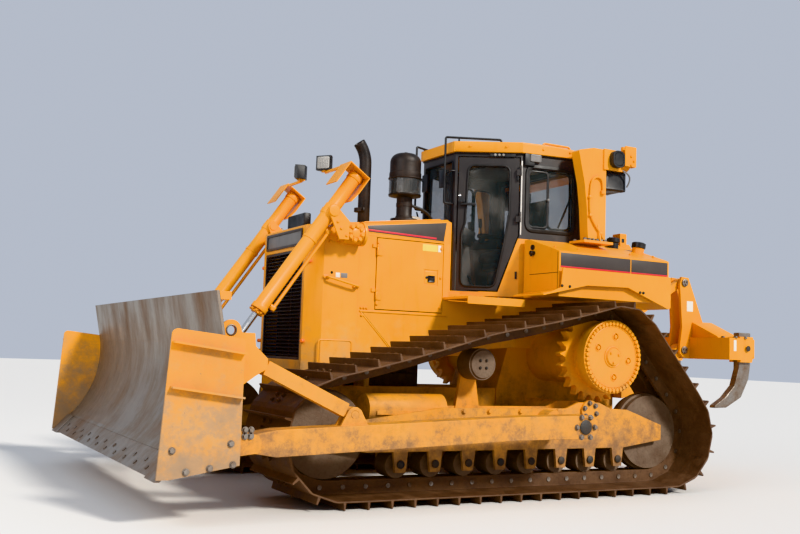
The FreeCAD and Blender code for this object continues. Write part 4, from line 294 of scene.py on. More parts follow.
materials = {
    "yellow": paintedMetal("yellowPaint", yellowLook),
    "yellowLow": paintedMetal("yellowPaintMuddy", lowYellowLook),
    "yellowSplashed": paintedMetal("yellowPaintSplashed", dict(yellowLook, dustTop=1.62, dustLow=1.0, dust=0.75, dustMost=0.72,
                                                               dustColour=(0.42, 0.30, 0.18))),
    "yellowScraped": paintedMetal("yellowPaintScraped", dict(lowYellowLook, mudFrom=0.66, mudMost=0.75, mudScale=4.6,
                                                             mudColour=(0.26, 0.19, 0.13), dustTop=1.9, chipScale=13,
                                                             chipFrom=0.67, chipColour=(0.17, 0.12, 0.085))),
    "dark": paintedMetal("darkPaint", darkLook),
    "cabDark": cabPaint("cabPaint", darkLook, cabBase),
    "grey": paintedMetal("greyPaint", greyLook),
    "beige": paintedMetal("beigePaint", dict(greyLook, colour=(0.42, 0.36, 0.29), faded=(0.5, 0.44, 0.36))),
    "band": paintedMetal("charcoalBand", dict(darkLook, colour=(0.062, 0.052, 0.048), faded=(0.075, 0.063, 0.056))),
    "red": paintedMetal("redLine", dict(yellowLook, colour=(0.62, 0.03, 0.05), faded=(0.66, 0.06, 0.07), dustMost=0.3)),
    "label": paintedMetal("paleLabel", dict(yellowLook, colour=(0.85, 0.62, 0.10), faded=(0.85, 0.66, 0.2), dustMost=0.3)),
    "white": paintedMetal("whiteLabel", dict(greyLook, colour=(0.62, 0.6, 0.56), faded=(0.7, 0.68, 0.64))),
    "track": metal("trackSteel", {"patch": 6, "from": 0.38, "to": 0.68, "first": (0.085, 0.045, 0.027), "second": (0.17, 0.095, 0.055),
                                  "third": (0.04, 0.026, 0.02), "speckle": 0.6, "gloss": 0.5, "dull": 0.9, "metallic": 0.25,
                                  "bumpScale": 40, "bump": 0.5}),
    "blade": metal("bladeSteel", {"patch": 2.4, "from": 0.4, "to": 0.7, "first": (0.27, 0.235, 0.2), "second": (0.20, 0.115, 0.065),
                                  "third": (0.09, 0.06, 0.04), "speckle": 0.4, "gloss": 0.34, "dull": 0.8, "metallic": 0.55,
                                  "bumpScale": 22, "bump": 0.3, "stretch": (1, 1, 0.35)}),
    "worn": metal("wornSteel", {"patch": 9, "from": 0.35, "to": 0.7, "first": (0.30, 0.27, 0.24), "second": (0.15, 0.095, 0.06),
                                "third": (0.06, 0.042, 0.03), "speckle": 0.5, "gloss": 0.35, "dull": 0.75, "metallic": 0.7,
                                "bumpScale": 60, "bump": 0.25}),
    "wheel": metal("wheelSteel", {"patch": 5, "from": 0.35, "to": 0.7, "first": (0.13, 0.082, 0.055), "second": (0.22, 0.16, 0.115),
                                  "third": (0.05, 0.034, 0.026), "speckle": 0.6, "gloss": 0.5, "dull": 0.9, "metallic": 0.3,
                                  "bumpScale": 45, "bump": 0.45}),
    "chrome": metal("chromedRod", {"patch": 4, "from": 0.5, "to": 0.9, "first": (0.72, 0.72, 0.73), "second": (0.5, 0.46, 0.4),
                                   "third": (0.3, 0.27, 0.24), "speckle": 0.2, "gloss": 0.12, "dull": 0.4, "metallic": 1.0,
                                   "bumpScale": 90, "bump": 0.03}),
    "fitting": metal("hoseFitting", {"patch": 12, "from": 0.4, "to": 0.8, "first": (0.6, 0.58, 0.5), "second": (0.4, 0.34, 0.22),
                                     "third": (0.15, 0.12, 0.09), "speckle": 0.4, "gloss": 0.25, "dull": 0.55, "metallic": 0.9,
                                     "bumpScale": 90, "bump": 0.1}),
    "castIron": metal("castIron", {"patch": 8, "from": 0.4, "to": 0.75, "first": (0.05, 0.048, 0.046), "second": (0.1, 0.07, 0.05),
                                   "third": (0.02, 0.018, 0.016), "speckle": 0.5, "gloss": 0.6, "dull": 0.9, "metallic": 0.3,
                                   "bumpScale": 70, "bump": 0.4}),
    "stack": metal("stackSteel", {"patch": 5, "from": 0.42, "to": 0.8, "first": (0.022, 0.019, 0.018), "second": (0.06, 0.04, 0.03),
                                  "third": (0.015, 0.012, 0.011), "speckle": 0.5, "gloss": 0.42, "dull": 0.75, "metallic": 0.3,
                                  "bumpScale": 60, "bump": 0.2}),
    "gap": plastic("darkGap", (0.006, 0.005, 0.005), 0.85),
    "black": plastic("blackPlastic", (0.016, 0.016, 0.017), 0.42),
    "rubber": plastic("hoseRubber", (0.014, 0.014, 0.014), 0.55, 0.25, 260),
    "fabric": plastic("seatFabric", (0.03, 0.03, 0.034), 0.9, 0.5, 420),
    "lens": plastic("lampLens", (0.26, 0.25, 0.23), 0.14, 0.4, 90),
    "orange": plastic("orangeMarker", (0.75, 0.16, 0.02), 0.35),
    "redLens": plastic("redLens", (0.45, 0.015, 0.01), 0.15, 0.3, 120),
    "bowl": clearGlass("bowlPlastic", (0.07, 0.072, 0.072), 0.45, 0.15),
    "glass": clearGlass("cabGlass", (0.05, 0.06, 0.058), 0.26, 0.03),
}
print("materials ready")

nodeMaterials = {
    "yellow": ["hood_cover", "engine_door_left", "engine_door_right", "firewall", "cab_roof",
               "rops_frame", "rear_body", "fenders", "platforms", "lift_yokes", "lift_barrel_left", "lift_barrel_right",
               "lift_guards_left", "lift_guards_right", "ripper_mount", "ripper_lower_link", "ripper_upper_links",
               "ripper_beam", "ripper_barrels"],
    "yellowSplashed": ["radiator_guard", "side_panels"],
    "yellowScraped": ["end_plates"],
    "yellowLow": ["main_frame", "track_frames", "sprockets", "push_arms", "braces", "blade_frame"],
    "dark": ["radiator_grille", "radiator_core", "cab_door_left", "cab_door_right"],
    "cabDark": ["cab_shell"],
    "grey": ["control_console"],
    "track": ["track_left", "track_right"],
    "wheel": ["track_wheels"],
    "worn": ["ripper_shanks"],
    "blade": ["moldboard", "cutting_edge"],
    "chrome": ["lift_rod_left", "lift_rod_right", "ripper_rods"],
    "castIron": ["engine_block"],
    "stack": ["exhaust_stack", "precleaner"],
    "bowl": ["precleaner_bowl"],
    "fabric": ["operator_seat"],
    "black": ["front_lamp_left", "front_lamp_right", "side_lamps", "grab_rails"],
    "glass": ["cab_glass", "door_glass_left", "door_glass_right"],
}
noSoftEdge = 0
softEdges = {"radiator_grille": noSoftEdge, "cab_glass": noSoftEdge, "door_glass_left": noSoftEdge,
             "door_glass_right": noSoftEdge, "radiator_core": noSoftEdge, "precleaner_bowl": noSoftEdge,
             "main_frame": 0.008, "track_frames": 0.006, "push_arms": 0.012, "cab_roof": 0.022, "rear_body": 0.012,
             "rops_frame": 0.012, "radiator_guard": 0.008, "hood_cover": 0.012, "lift_yokes": 0.008, "ripper_beam": 0.008,
             "operator_seat": 0.05, "sprockets": 0.004, "ripper_shanks": 0.008}


def dressNodes():
    # each solid gets its material and softly rounded edges
    for finish, names in nodeMaterials.items():
        for name in names:
            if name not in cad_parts:
                continue
            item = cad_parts[name]
            if not item.material_slots:
                item.data.materials.append(None)
            for spot in item.material_slots:
                spot.material = materials[finish]
            width = softEdges.get(name, 0.004)
            if width:
                weld = item.modifiers.new("weld", "WELD")
                weld.merge_threshold = 0.00002
                bevel = item.modifiers.new("softEdge", "BEVEL")
                bevel.width = width
                bevel.segments = 2
                bevel.limit_method = "ANGLE"
                bevel.angle_limit = math.radians(32)
                bevel.harden_normals = True


dressNodes()
print("nodes dressed")


# modelling tools, all in the machine's own metres

def clearSelection():
    bpy.ops.object.select_all(action="DESELECT")


def makeActive(item):
    clearSelection()
    item.select_set(True)
    bpy.context.view_layer.objects.active = item


def applyPlace(item):
    makeActive(item)
    bpy.ops.object.transform_apply(location=True, rotation=True, scale=True)


def pickFaces(item, test):
    # enters edit mode with the faces picked whose middle and normal pass the test
    makeActive(item)
    bpy.ops.object.mode_set(mode="EDIT")
    bpy.ops.mesh.select_mode(type="FACE")
    bpy.ops.mesh.select_all(action="DESELECT")
    bpy.ops.object.mode_set(mode="OBJECT")
    for face in item.data.polygons:
        face.select = test(face.center, face.normal)
    bpy.ops.object.mode_set(mode="EDIT")


def leaveEdit():
    bpy.ops.object.mode_set(mode="OBJECT")


def roundAll(item, width, segments=2):
    makeActive(item)
    bpy.ops.object.mode_set(mode="EDIT")
    bpy.ops.mesh.select_all(action="SELECT")
    bpy.ops.mesh.bevel(offset=width, segments=segments)
    leaveEdit()


def block(name, low, high, rounding=0.004):
    # a cube at its size and place with rounded edges
    middle = [(first + second) / 2 for first, second in zip(low, high)]
    clearSelection()
    bpy.ops.mesh.primitive_cube_add(size=1, location=at(*middle))
    item = bpy.context.object
    item.name = name
    item.scale = [abs(second - first) for first, second in zip(low, high)]
    applyPlace(item)
    if rounding:
        roundAll(item, rounding)
    return item


def rod(name, start, end, radius, sides=24, lip=0.14, rise=0.05):
    # a round bar between two places, each end drawn in and raised a little
    first, second = at(*start), at(*end)
    line = second - first
    clearSelection()
    bpy.ops.mesh.primitive_cylinder_add(vertices=sides, radius=radius, depth=line.length, location=(first + second) / 2,
                                        rotation=line.to_track_quat("Z", "Y").to_euler())
    item = bpy.context.object
    item.name = name
    applyPlace(item)
    along = line.normalized()
    pickFaces(item, lambda middle, normal: abs(normal.dot(along)) > 0.99)
    bpy.ops.mesh.inset(thickness=radius * lip, depth=radius * rise, use_individual=True)
    leaveEdit()
    return item


def turned(item, angle, axis, pivot):
    # turns a piece about a line through the pivot
    spot = at(*pivot)
    turn = Matrix.Translation(spot) @ Matrix.Rotation(math.radians(angle), 4, Vector(axis)) @ Matrix.Translation(-spot)
    item.matrix_world = turn @ item.matrix_world
    applyPlace(item)
    return item


def roundedOutline(points, radius, steps=5):
    # the outline with an arc in place of each corner
    outline = []
    corners = [Vector(point) for point in points]
    for number, corner in enumerate(corners):
        before = (corners[number - 1] - corner).normalized()
        after = (corners[(number + 1) % len(corners)] - corner).normalized()
        half = before.angle(after) / 2
        run = min(radius / math.tan(half), (corners[number - 1] - corner).length * 0.45,
                  (corners[(number + 1) % len(corners)] - corner).length * 0.45)
        first, last = corner + before * run, corner + after * run
        for step in range(steps + 1):
            share = step / steps
            outline.append(first.lerp(corner, share).lerp(corner.lerp(last, share), share))
    return outline


def facePlane(origin, across, up):
    # places flat shapes: across and up are their own x and y, and they face along across x up
    across, up = Vector(across).normalized(), Vector(up).normalized()
    turn = Matrix((across, up, across.cross(up))).transposed().to_4x4()
    return Matrix.Translation(at(*origin)) @ turn


def sidePlane(side, out):
    # a plane that faces the machine's side: its x is the distance behind the origin on the left, ahead on the right
    return facePlane((0, side * out, 0), (-side, 0, 0), (0, 0, 1))


def plate(name, outlines, plane, thick, edge=0.001):
    # a flat filled curve with some thickness, made a mesh and laid on its plane
    flat = bpy.data.curves.new(name, "CURVE")
    flat.dimensions = "2D"
    flat.fill_mode = "BOTH"
    flat.extrude = thick / 2 - edge
    flat.bevel_depth = edge
    flat.bevel_resolution = 1
    flat.offset = -edge
    for outline in outlines:
        spline = flat.splines.new("POLY")
        spline.points.add(len(outline) - 1)
        spline.use_cyclic_u = True
        for spot, place in zip(spline.points, outline):
            spot.co = (place[0], place[1], 0, 1)
    item = bpy.data.objects.new(name, flat)
    bpy.context.collection.objects.link(item)
    makeActive(item)
    bpy.ops.object.convert(target="MESH")
    bpy.ops.object.mode_set(mode="EDIT")
    bpy.ops.mesh.select_all(action="SELECT")
    bpy.ops.mesh.remove_doubles(threshold=0.00004)
    bpy.ops.mesh.normals_make_consistent(inside=False)
    leaveEdit()
    item.matrix_world = plane @ Matrix.Translation((0, 0, thick / 2))
    applyPlace(item)
    return item


def pipe(name, spots, radius, closed=False, smooth=False, sides=3):
    # a tube along a line of places, its ends filled
    line = bpy.data.curves.new(name, "CURVE")
    line.dimensions = "3D"
    line.bevel_depth = radius
    line.bevel_resolution = sides
    line.use_fill_caps = not closed
    spline = line.splines.new("NURBS" if smooth else "POLY")
    spline.points.add(len(spots) - 1)
    for spot, place in zip(spline.points, spots):
        spot.co = (*place, 1)
    if smooth:
        spline.order_u = 3
        spline.use_endpoint_u = True
        spline.resolution_u = 6
    spline.use_cyclic_u = closed
    item = bpy.data.objects.new(name, line)
    bpy.context.collection.objects.link(item)
    makeActive(item)
    bpy.ops.object.convert(target="MESH")
    bpy.ops.object.mode_set(mode="EDIT")
    bpy.ops.mesh.select_all(action="SELECT")
    bpy.ops.mesh.remove_doubles(threshold=0.00004)
    bpy.ops.mesh.normals_make_consistent(inside=False)
    leaveEdit()
    return item


def facing(spot, normal, spin=0):
    # puts a model's own top along the normal at a place
    turn = Vector(normal).to_track_quat("Z", "Y").to_matrix().to_4x4()
    return Matrix.Translation(at(*spot)) @ turn @ Matrix.Rotation(math.radians(spin), 4, "Z")


def copies(name, model, places):
    # copies of one modelled piece, each with its own mesh, set at their places and joined
    clearSelection()
    for place in places:
        twin = model.copy()
        twin.data = model.data.copy()
        bpy.context.collection.objects.link(twin)
        twin.matrix_world = place
        twin.select_set(True)
        bpy.context.view_layer.objects.active = twin
    bpy.ops.object.join()
    item = bpy.context.object
    item.name = name
    applyPlace(item)
    return item


def joined(name, parts):
    clearSelection()
    for part in parts:
        part.select_set(True)
    bpy.context.view_layer.objects.active = parts[0]
    if len(parts) > 1:
        bpy.ops.object.join()
    parts[0].name = name
    return parts[0]


def finishPiece(item, look, body="machine", smooth=35):
    # material, smooth shading by angle and the body it rides
    item.data.materials.clear()
    item.data.materials.append(materials[look])
    makeActive(item)
    bpy.ops.object.shade_smooth_by_angle(angle=math.radians(smooth))
    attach(item, body)
    return item


def hexBolt(radius, height):
    # a bolt head on its washer, modelled once at the origin and pointing up
    clearSelection()
    bpy.ops.mesh.primitive_cylinder_add(vertices=12, radius=radius * 1.3, depth=height * 0.3, location=(0, 0, height * 0.15))
    washer = bpy.context.object
    clearSelection()
    bpy.ops.mesh.primitive_cylinder_add(vertices=6, radius=radius, depth=height * 0.8, location=(0, 0, height * 0.6))
    head = bpy.context.object
    applyPlace(washer)
    applyPlace(head)
    pickFaces(head, lambda middle, normal: normal.z > 0.9)
    bpy.ops.mesh.inset(thickness=radius * 0.16, depth=height * 0.12)
    leaveEdit()
    return joined("boltModel", [washer, head])


def ringOf(count, radius, centre, normal, first=0):
    # places evenly round a circle that faces along the machine's side
    side = 1 if normal > 0 else -1
    spots = []
    for number in range(count):
        angle = math.radians(first + 360 * number / count)
        spots.append(facing((centre[0] + radius * math.cos(angle), centre[1], centre[2] + radius * math.sin(angle)),
                            (0, side, 0), first + 360 * number / count))
    return spots


def dropModel(model):
    bpy.data.objects.remove(model, do_unlink=True)


smallBolt = hexBolt(0.011, 0.012)
largeBolt = hexBolt(0.019, 0.02)
print("tools ready")


# stripes and blank plates

stripes = {"thick": 0.0022, "out": 0.6102, "tankOut": 1.2502, "inset": 0.012}


def addStripes():
    thin = stripes["thick"]
    for side, hand in ((1, "left"), (-1, "right")):
        hood = sidePlane(side, stripes["out"])
        across = -side

        def laid(points):
            return [(across * (x - originX) - across * -originX, z) for x, z in points]

        band = laid([(2.092, 2.287), (2.092, 2.335), (1.222, 2.443), (1.250, 2.263)])
        line = laid([(2.092, 2.296), (2.092, 2.311), (1.33, 2.292), (1.33, 2.277)])
        rim = laid([(2.100, 2.279), (2.100, 2.338), (1.214, 2.447), (1.243, 2.255)])
        finishPiece(plate("hood_band_rim_" + hand, [rim], hood, thin * 0.6, 0.0003), "yellow")
        finishPiece(plate("hood_band_" + hand, [band], hood, thin, 0.0006), "band")
        finishPiece(plate("hood_red_line_" + hand, [line], hood, thin * 1.3, 0.0004), "red")
        tank = sidePlane(side, stripes["tankOut"])
        front = laid([(0.372, 2.064), (0.372, 2.186), (-0.470, 2.186), (-0.470, 2.064)])
        rear = laid([(-0.482, 2.064), (-0.482, 2.186), (-0.950, 2.186), (-0.950, 2.064)])
        finishPiece(plate("tank_band_" + hand, [front, rear], tank, thin, 0.0006), "band")
        frontLine = laid([(0.372, 2.050), (0.372, 2.063), (-0.470, 2.063), (-0.470, 2.050)])
        rearLine = laid([(-0.482, 2.050), (-0.482, 2.063), (-0.950, 2.063), (-0.950, 2.050)])
        finishPiece(plate("tank_red_line_" + hand, [frontLine, rearLine], tank, thin * 1.3, 0.0004), "red")


addStripes()

plates = {"thick": 0.0016, "doorFace": 0.6142, "guardFace": 0.6202, "frontFace": 2.6002}


def addPlates():
    # blank labels on the engine door and the guard, and the blank plate above the grille
    for side, hand in ((1, "left"), (-1, "right")):
        door = sidePlane(side, plates["doorFace"])
        label = [(-side * x, z) for x, z in ((1.315, 2.158), (1.315, 2.222), (1.478, 2.222), (1.478, 2.158))]
        corner = [(-side * x, z) for x, z in ((1.278, 2.158), (1.278, 2.222), (1.311, 2.222), (1.311, 2.158))]
        finishPiece(plate("door_label_" + hand, [roundedOutline(label, 0.008, 3)], door, plates["thick"], 0.0004),
                    "label", "engine_door_" + hand)
        finishPiece(plate("door_label_end_" + hand, [corner], door, plates["thick"], 0.0004), "white", "engine_door_" + hand)
        guard = sidePlane(side, plates["guardFace"])
        for number, (x, wide, look) in enumerate(((2.312, 0.042, "white"), (2.238, 0.066, "grey"))):
            patch = [(-side * (x + dx), 1.852 + dz) for dx, dz in ((0, 0), (0, 0.044), (wide, 0.044), (wide, 0))]
            finishPiece(plate("guard_label_%d_%s" % (number, hand), [patch], guard, plates["thick"], 0.0004), look)
    front = facePlane((plates["frontFace"], 0, 0), (0, 1, 0), (0, 0, 1))
    outer = roundedOutline([(-0.43, 2.132), (-0.43, 2.286), (0.43, 2.286), (0.43, 2.132)], 0.018, 4)
    inner = roundedOutline([(-0.405, 2.155), (-0.405, 2.263), (0.405, 2.263), (0.405, 2.155)], 0.012, 4)
    finishPiece(plate("front_plate_rim", [outer, inner], front, 0.012, 0.002), "band")
    finishPiece(plate("front_plate", [inner], front, 0.004, 0.001), "grey")


addPlates()
print("stripes and plates done")


# engine door: latch, hinge leaves' screws; guard: grab handle, markers

doorLatch = {"x": (1.318, 1.442), "z": (1.856, 1.976), "face": 0.6082, "paddle": (1.338, 1.412, 1.872, 1.934)}


def addDoorLatches():
    for side, hand in ((1, "left"), (-1, "right")):
        plane = sidePlane(side, doorLatch["face"])
        dish = roundedOutline([(-side * x, z) for x, z in ((doorLatch["x"][0], doorLatch["z"][0]), (doorLatch["x"][0], doorLatch["z"][1]),
                                                           (doorLatch["x"][1], doorLatch["z"][1]), (doorLatch["x"][1], doorLatch["z"][0]))], 0.014, 4)
        pan = plate("latch_pan_" + hand, [dish], plane, 0.002, 0.0005)
        finishPiece(pan, "yellow", "engine_door_" + hand)
        near, far, low, high = doorLatch["paddle"]
        lever = block("latch_lever_" + hand, (near, side * 0.610, low), (far, side * 0.6225, high), 0.004)
        pickFaces(lever, lambda middle, normal: normal.y * side > 0.9)
        bpy.ops.mesh.inset(thickness=0.012, depth=-0.005)
        leaveEdit()
        catch = rod("latch_lock_" + hand, (1.425, side * 0.609, 1.915), (1.425, side * 0.621, 1.915), 0.011, 16)
        catch.data.transform(Matrix.Identity(4))
        finishPiece(joined("latch_lever_" + hand, [lever, catch]), "black", "engine_door_" + hand)
        screws = [facing((x, side * 0.6142, z), (0, side, 0), 20) for x in (1.275, 1.935) for z in (1.64, 1.92, 2.19) if x < 1.5 or z != 1.92]
        finishPiece(copies("door_screws_" + hand, smallBolt, screws), "yellow", "engine_door_" + hand)


addDoorLatches()

guardHandle = {"front": (2.445, 1.848), "rear": (2.150, 1.782), "out": 0.062, "radius": 0.0115, "wall": 0.6195}


def addGuardFittings():
    for side, hand in ((1, "left"), (-1, "right")):
        (frontX, frontZ), (rearX, rearZ) = guardHandle["front"], guardHandle["rear"]
        wall, out = guardHandle["wall"], guardHandle["wall"] + guardHandle["out"]
        spots = [at(frontX, side * wall, frontZ), at(frontX, side * (out - 0.018), frontZ), at(frontX - 0.012, side * out, frontZ - 0.002),
                 at(rearX + 0.012, side * out, rearZ + 0.002), at(rearX, side * (out - 0.018), rearZ), at(rearX, side * wall, rearZ)]
        bar = pipe("guard_handle_" + hand, spots, guardHandle["radius"], smooth=True)
        feet = [plate("handle_foot", [roundedOutline([(-side * (x + dx), z + dz) for dx, dz in ((-0.03, -0.02), (-0.03, 0.02), (0.03, 0.02), (0.03, -0.02))], 0.012, 3)],
                      sidePlane(side, wall), 0.006, 0.001) for x, z in ((frontX, frontZ), (rearX + 0.004, rearZ))]
        finishPiece(joined("guard_handle_" + hand, [bar] + feet), "yellow")
        bolts = [facing((x + dx, side * (wall + 0.006), z), (0, side, 0), 10) for x, z in ((frontX, frontZ), (rearX + 0.004, rearZ)) for dx in (-0.019, 0.019)]
        bolts += [facing((x, side * 0.62, z), (0, side, 0), 15) for x, z in ((2.19, 2.16), (2.19, 1.12), (2.42, 2.16))]
        finishPiece(copies("guard_bolts_" + hand, smallBolt, bolts), "yellow")
        knobs = [rod("knob", (x, side * y, z), (x + 0.022, side * (y + 0.024), z), 0.017, 16, 0.3, 0.25)
                 for x, y, z in ((2.5655, 0.5335, 1.985), (2.5925, 0.5075, 1.284))]
        finishPiece(joined("guard_knobs_" + hand, knobs), "orange")
        hole = rod("hole", (2.392, side * 0.6195, 1.892), (2.392, side * 0.6212, 1.892), 0.013, 20, 0.3, -0.02)
        finishPiece(joined("guard_plug_" + hand, [hole]), "gap")


addGuardFittings()

# side panel under the engine door: ledge, slanted seam with its flange, bolts; the guard's raised lower frame

sideTrim = {"face": 0.6102, "ledge": (1.205, 2.104, 1.562, 1.578), "seamFrom": (2.096, 1.560), "seamTo": (1.790, 1.246),
            "frame": (2.170, 2.497, 1.085, 1.306), "frameWide": 0.009, "frameFace": 0.6198}


def addSideTrim():
    for side, hand in ((1, "left"), (-1, "right")):
        panel = sidePlane(side, sideTrim["face"] - 0.0004)
        rear, front, low, high = sideTrim["ledge"]
        ledge = plate("panel_ledge", [[(-side * x, z) for x, z in ((rear, low), (rear, high), (front, high), (front, low))]], panel, 0.009, 0.003)
        (x, z), (endX, endZ) = sideTrim["seamFrom"], sideTrim["seamTo"]
        flange = plate("panel_flange", [[(-side * px, pz) for px, pz in ((x, z), (x - 0.018, z), (endX - 0.018, endZ), (endX, endZ))]], panel, 0.0055, 0.002)
        finishPiece(joined("side_panel_ledge_" + hand, [ledge, flange]), "yellow")
        seam = plate("panel_seam_" + hand, [[(-side * px, pz) for px, pz in ((x - 0.0185, z), (x - 0.0245, z), (endX - 0.0245, endZ), (endX - 0.0185, endZ))]],
                     panel, 0.0012, 0.0003)
        finishPiece(seam, "gap")
        bolts = [facing((px, side * sideTrim["face"], pz), (0, side, 0), 12) for px, pz in ((2.088, 1.600), (2.060, 1.600), (2.032, 1.600), (2.081, 1.532))]
        finishPiece(copies("side_panel_bolts_" + hand, smallBolt, bolts), "yellow")
        rear, front, low, high = sideTrim["frame"]
        wide = sideTrim["frameWide"]
        rings = [roundedOutline([(-side * px, pz) for px, pz in ((rear + inset, low + inset), (rear + inset, high - inset), (front - inset, high - inset),
                                                               (front - inset, low + inset))], 0.036 - inset, 6) for inset in (0, wide)]
        finishPiece(plate("guard_lower_frame_" + hand, rings, sidePlane(side, sideTrim["frameFace"]), 0.0055, 0.0018), "yellow")


addSideTrim()
print("guard and engine doors done")


# engine hood: raised plate, stack collar, grommets and the strut behind the precleaner

hoodLook = {"slope": -0.1245, "level": 2.4172, "levelX": 1.7}


def hoodTop(x):
    return hoodLook["level"] + (x - hoodLook["levelX"]) * hoodLook["slope"]


def addHoodTop():
    tilt = math.degrees(math.atan(-hoodLook["slope"]))
    lid = block("hood_top_plate", (1.255, -0.50, hoodTop(1.66) - 0.001), (2.06, 0.10, hoodTop(1.66) + 0.013), 0.004)
    finishPiece(turned(lid, tilt, (0, 1, 0), (1.66, 0, hoodTop(1.66))), "yellow")
    strip = block("hood_side_plate", (1.255, 0.47, hoodTop(1.66) - 0.001), (2.06, 0.555, hoodTop(1.66) + 0.010), 0.004)
    finishPiece(turned(strip, tilt, (0, 1, 0), (1.66, 0, hoodTop(1.66))), "yellow")
    bolts = [facing((x, y, hoodTop(x) + 0.012), (0.12, 0, 0.99), 10) for x in (1.30, 1.55, 1.80, 2.02) for y in (-0.46, 0.06)]
    finishPiece(copies("hood_bolts", smallBolt, bolts), "yellow")
    collar = rod("stack_collar", (1.93, 0.20, hoodTop(1.93) - 0.004), (1.93, 0.20, hoodTop(1.93) + 0.022), 0.078, 40, 0.15, 0.08)
    finishPiece(collar, "stack")
    clamp = rod("stack_clamp", (1.93, 0.20, 2.52), (1.93, 0.20, 2.555), 0.0605, 40, 0.05, 0.02)
    lug = block("clamp_lug", (1.925, 0.255, 2.522), (1.945, 0.285, 2.553), 0.003)
    finishPiece(joined("stack_clamp", [clamp, lug]), "stack")
    band = rod("cleaner_clamp", (1.515, 0.30, 2.60), (1.515, 0.30, 2.632), 0.0785, 40, 0.05, 0.02)
    lip = pipe("cleaner_lip", [at(1.515 + 0.1555 * math.cos(math.radians(step * 10)), 0.30 + 0.1555 * math.sin(math.radians(step * 10)), 2.868)
                               for step in range(36)], 0.008, closed=True)
    lowLip = pipe("cleaner_low_lip", [at(1.515 + 0.151 * math.cos(math.radians(step * 10)), 0.30 + 0.151 * math.sin(math.radians(step * 10)), 2.712)
                                      for step in range(36)], 0.007, closed=True)
    knob = rod("cleaner_nut", (1.515, 0.30, 3.11), (1.515, 0.30, 3.126), 0.022, 6, 0.2, 0.1)
    finishPiece(joined("cleaner_bands", [band, lip, lowLip, knob]), "stack")
    vane = block("vane", (1.515, 0.295, 2.720), (1.648, 0.305, 2.852), 0.002)
    spots = [Matrix.Translation(at(1.515, 0.30, 0)) @ Matrix.Rotation(math.radians(30 * step), 4, "Z") @ Matrix.Translation(-at(1.515, 0.30, 0))
             for step in range(12)]
    vanes = copies("cleaner_vanes", vane, spots)
    dropModel(vane)
    finishPiece(vanes, "stack")
    strut = pipe("cleaner_strut", [at(1.44, 0.30, 2.62), at(1.30, 0.30, 2.60), at(1.20, 0.30, 2.52), at(1.19, 0.30, 2.455)], 0.014, smooth=True)
    foot = block("strut_foot", (1.165, 0.265, 2.448), (1.225, 0.335, 2.462), 0.003)
    finishPiece(joined("cleaner_strut", [strut, foot]), "black")
    box = block("hood_rear_box", (1.215, -0.08, hoodTop(1.27) - 0.004), (1.325, 0.10, hoodTop(1.27) + 0.078), 0.008)
    pickFaces(box, lambda middle, normal: normal.z > 0.9)
    bpy.ops.mesh.inset(thickness=0.02, depth=0.004)
    leaveEdit()
    finishPiece(box, "beige")
    core = block("guard_front_box", (2.485, -0.05, 2.318), (2.560, 0.335, 2.440), 0.014)
    pickFaces(core, lambda middle, normal: normal.x > 0.9)
    bpy.ops.mesh.inset(thickness=0.016, depth=-0.008)
    leaveEdit()
    finishPiece(core, "black")


addHoodTop()
print("hood top done")


# cab doors: gasket, handle, lock, hinges; their walls run from the post to the front at a slant

doorWall = {"post": (0.420, 0.660), "along": (0.8392, -0.5439), "out": (0.5439, 0.8392), "wide": 0.6435}
doorGlassLine = [(0.105, 3.075), (0.105, 2.600), (0.150, 2.310), (0.235, 1.882), (0.5615, 1.882), (0.5655, 2.400),
                 (0.5315, 2.510), (0.5135, 3.075)]


def doorSpot(side, along, z, out=0.0):
    x = doorWall["post"][0] + doorWall["along"][0] * along + doorWall["out"][0] * out
    y = doorWall["post"][1] + doorWall["along"][1] * along + doorWall["out"][1] * out
    return (x, side * y, z)


def doorPlane(side, out=0.0):
    # its x runs from the post forward on the left door's mirror and backward on the left door itself
    along = Vector((doorWall["along"][0], side * doorWall["along"][1], 0))
    return facePlane(doorSpot(side, 0, 0, out), -side * along, (0, 0, 1))


doorFittings = {"gasket": 0.0105, "handleZ": 2.712, "handle": (0.430, 0.585), "lockZ": 2.775, "lock": 0.612,
                "hinges": (1.965, 2.93), "strip": (0.34, 0.50)}


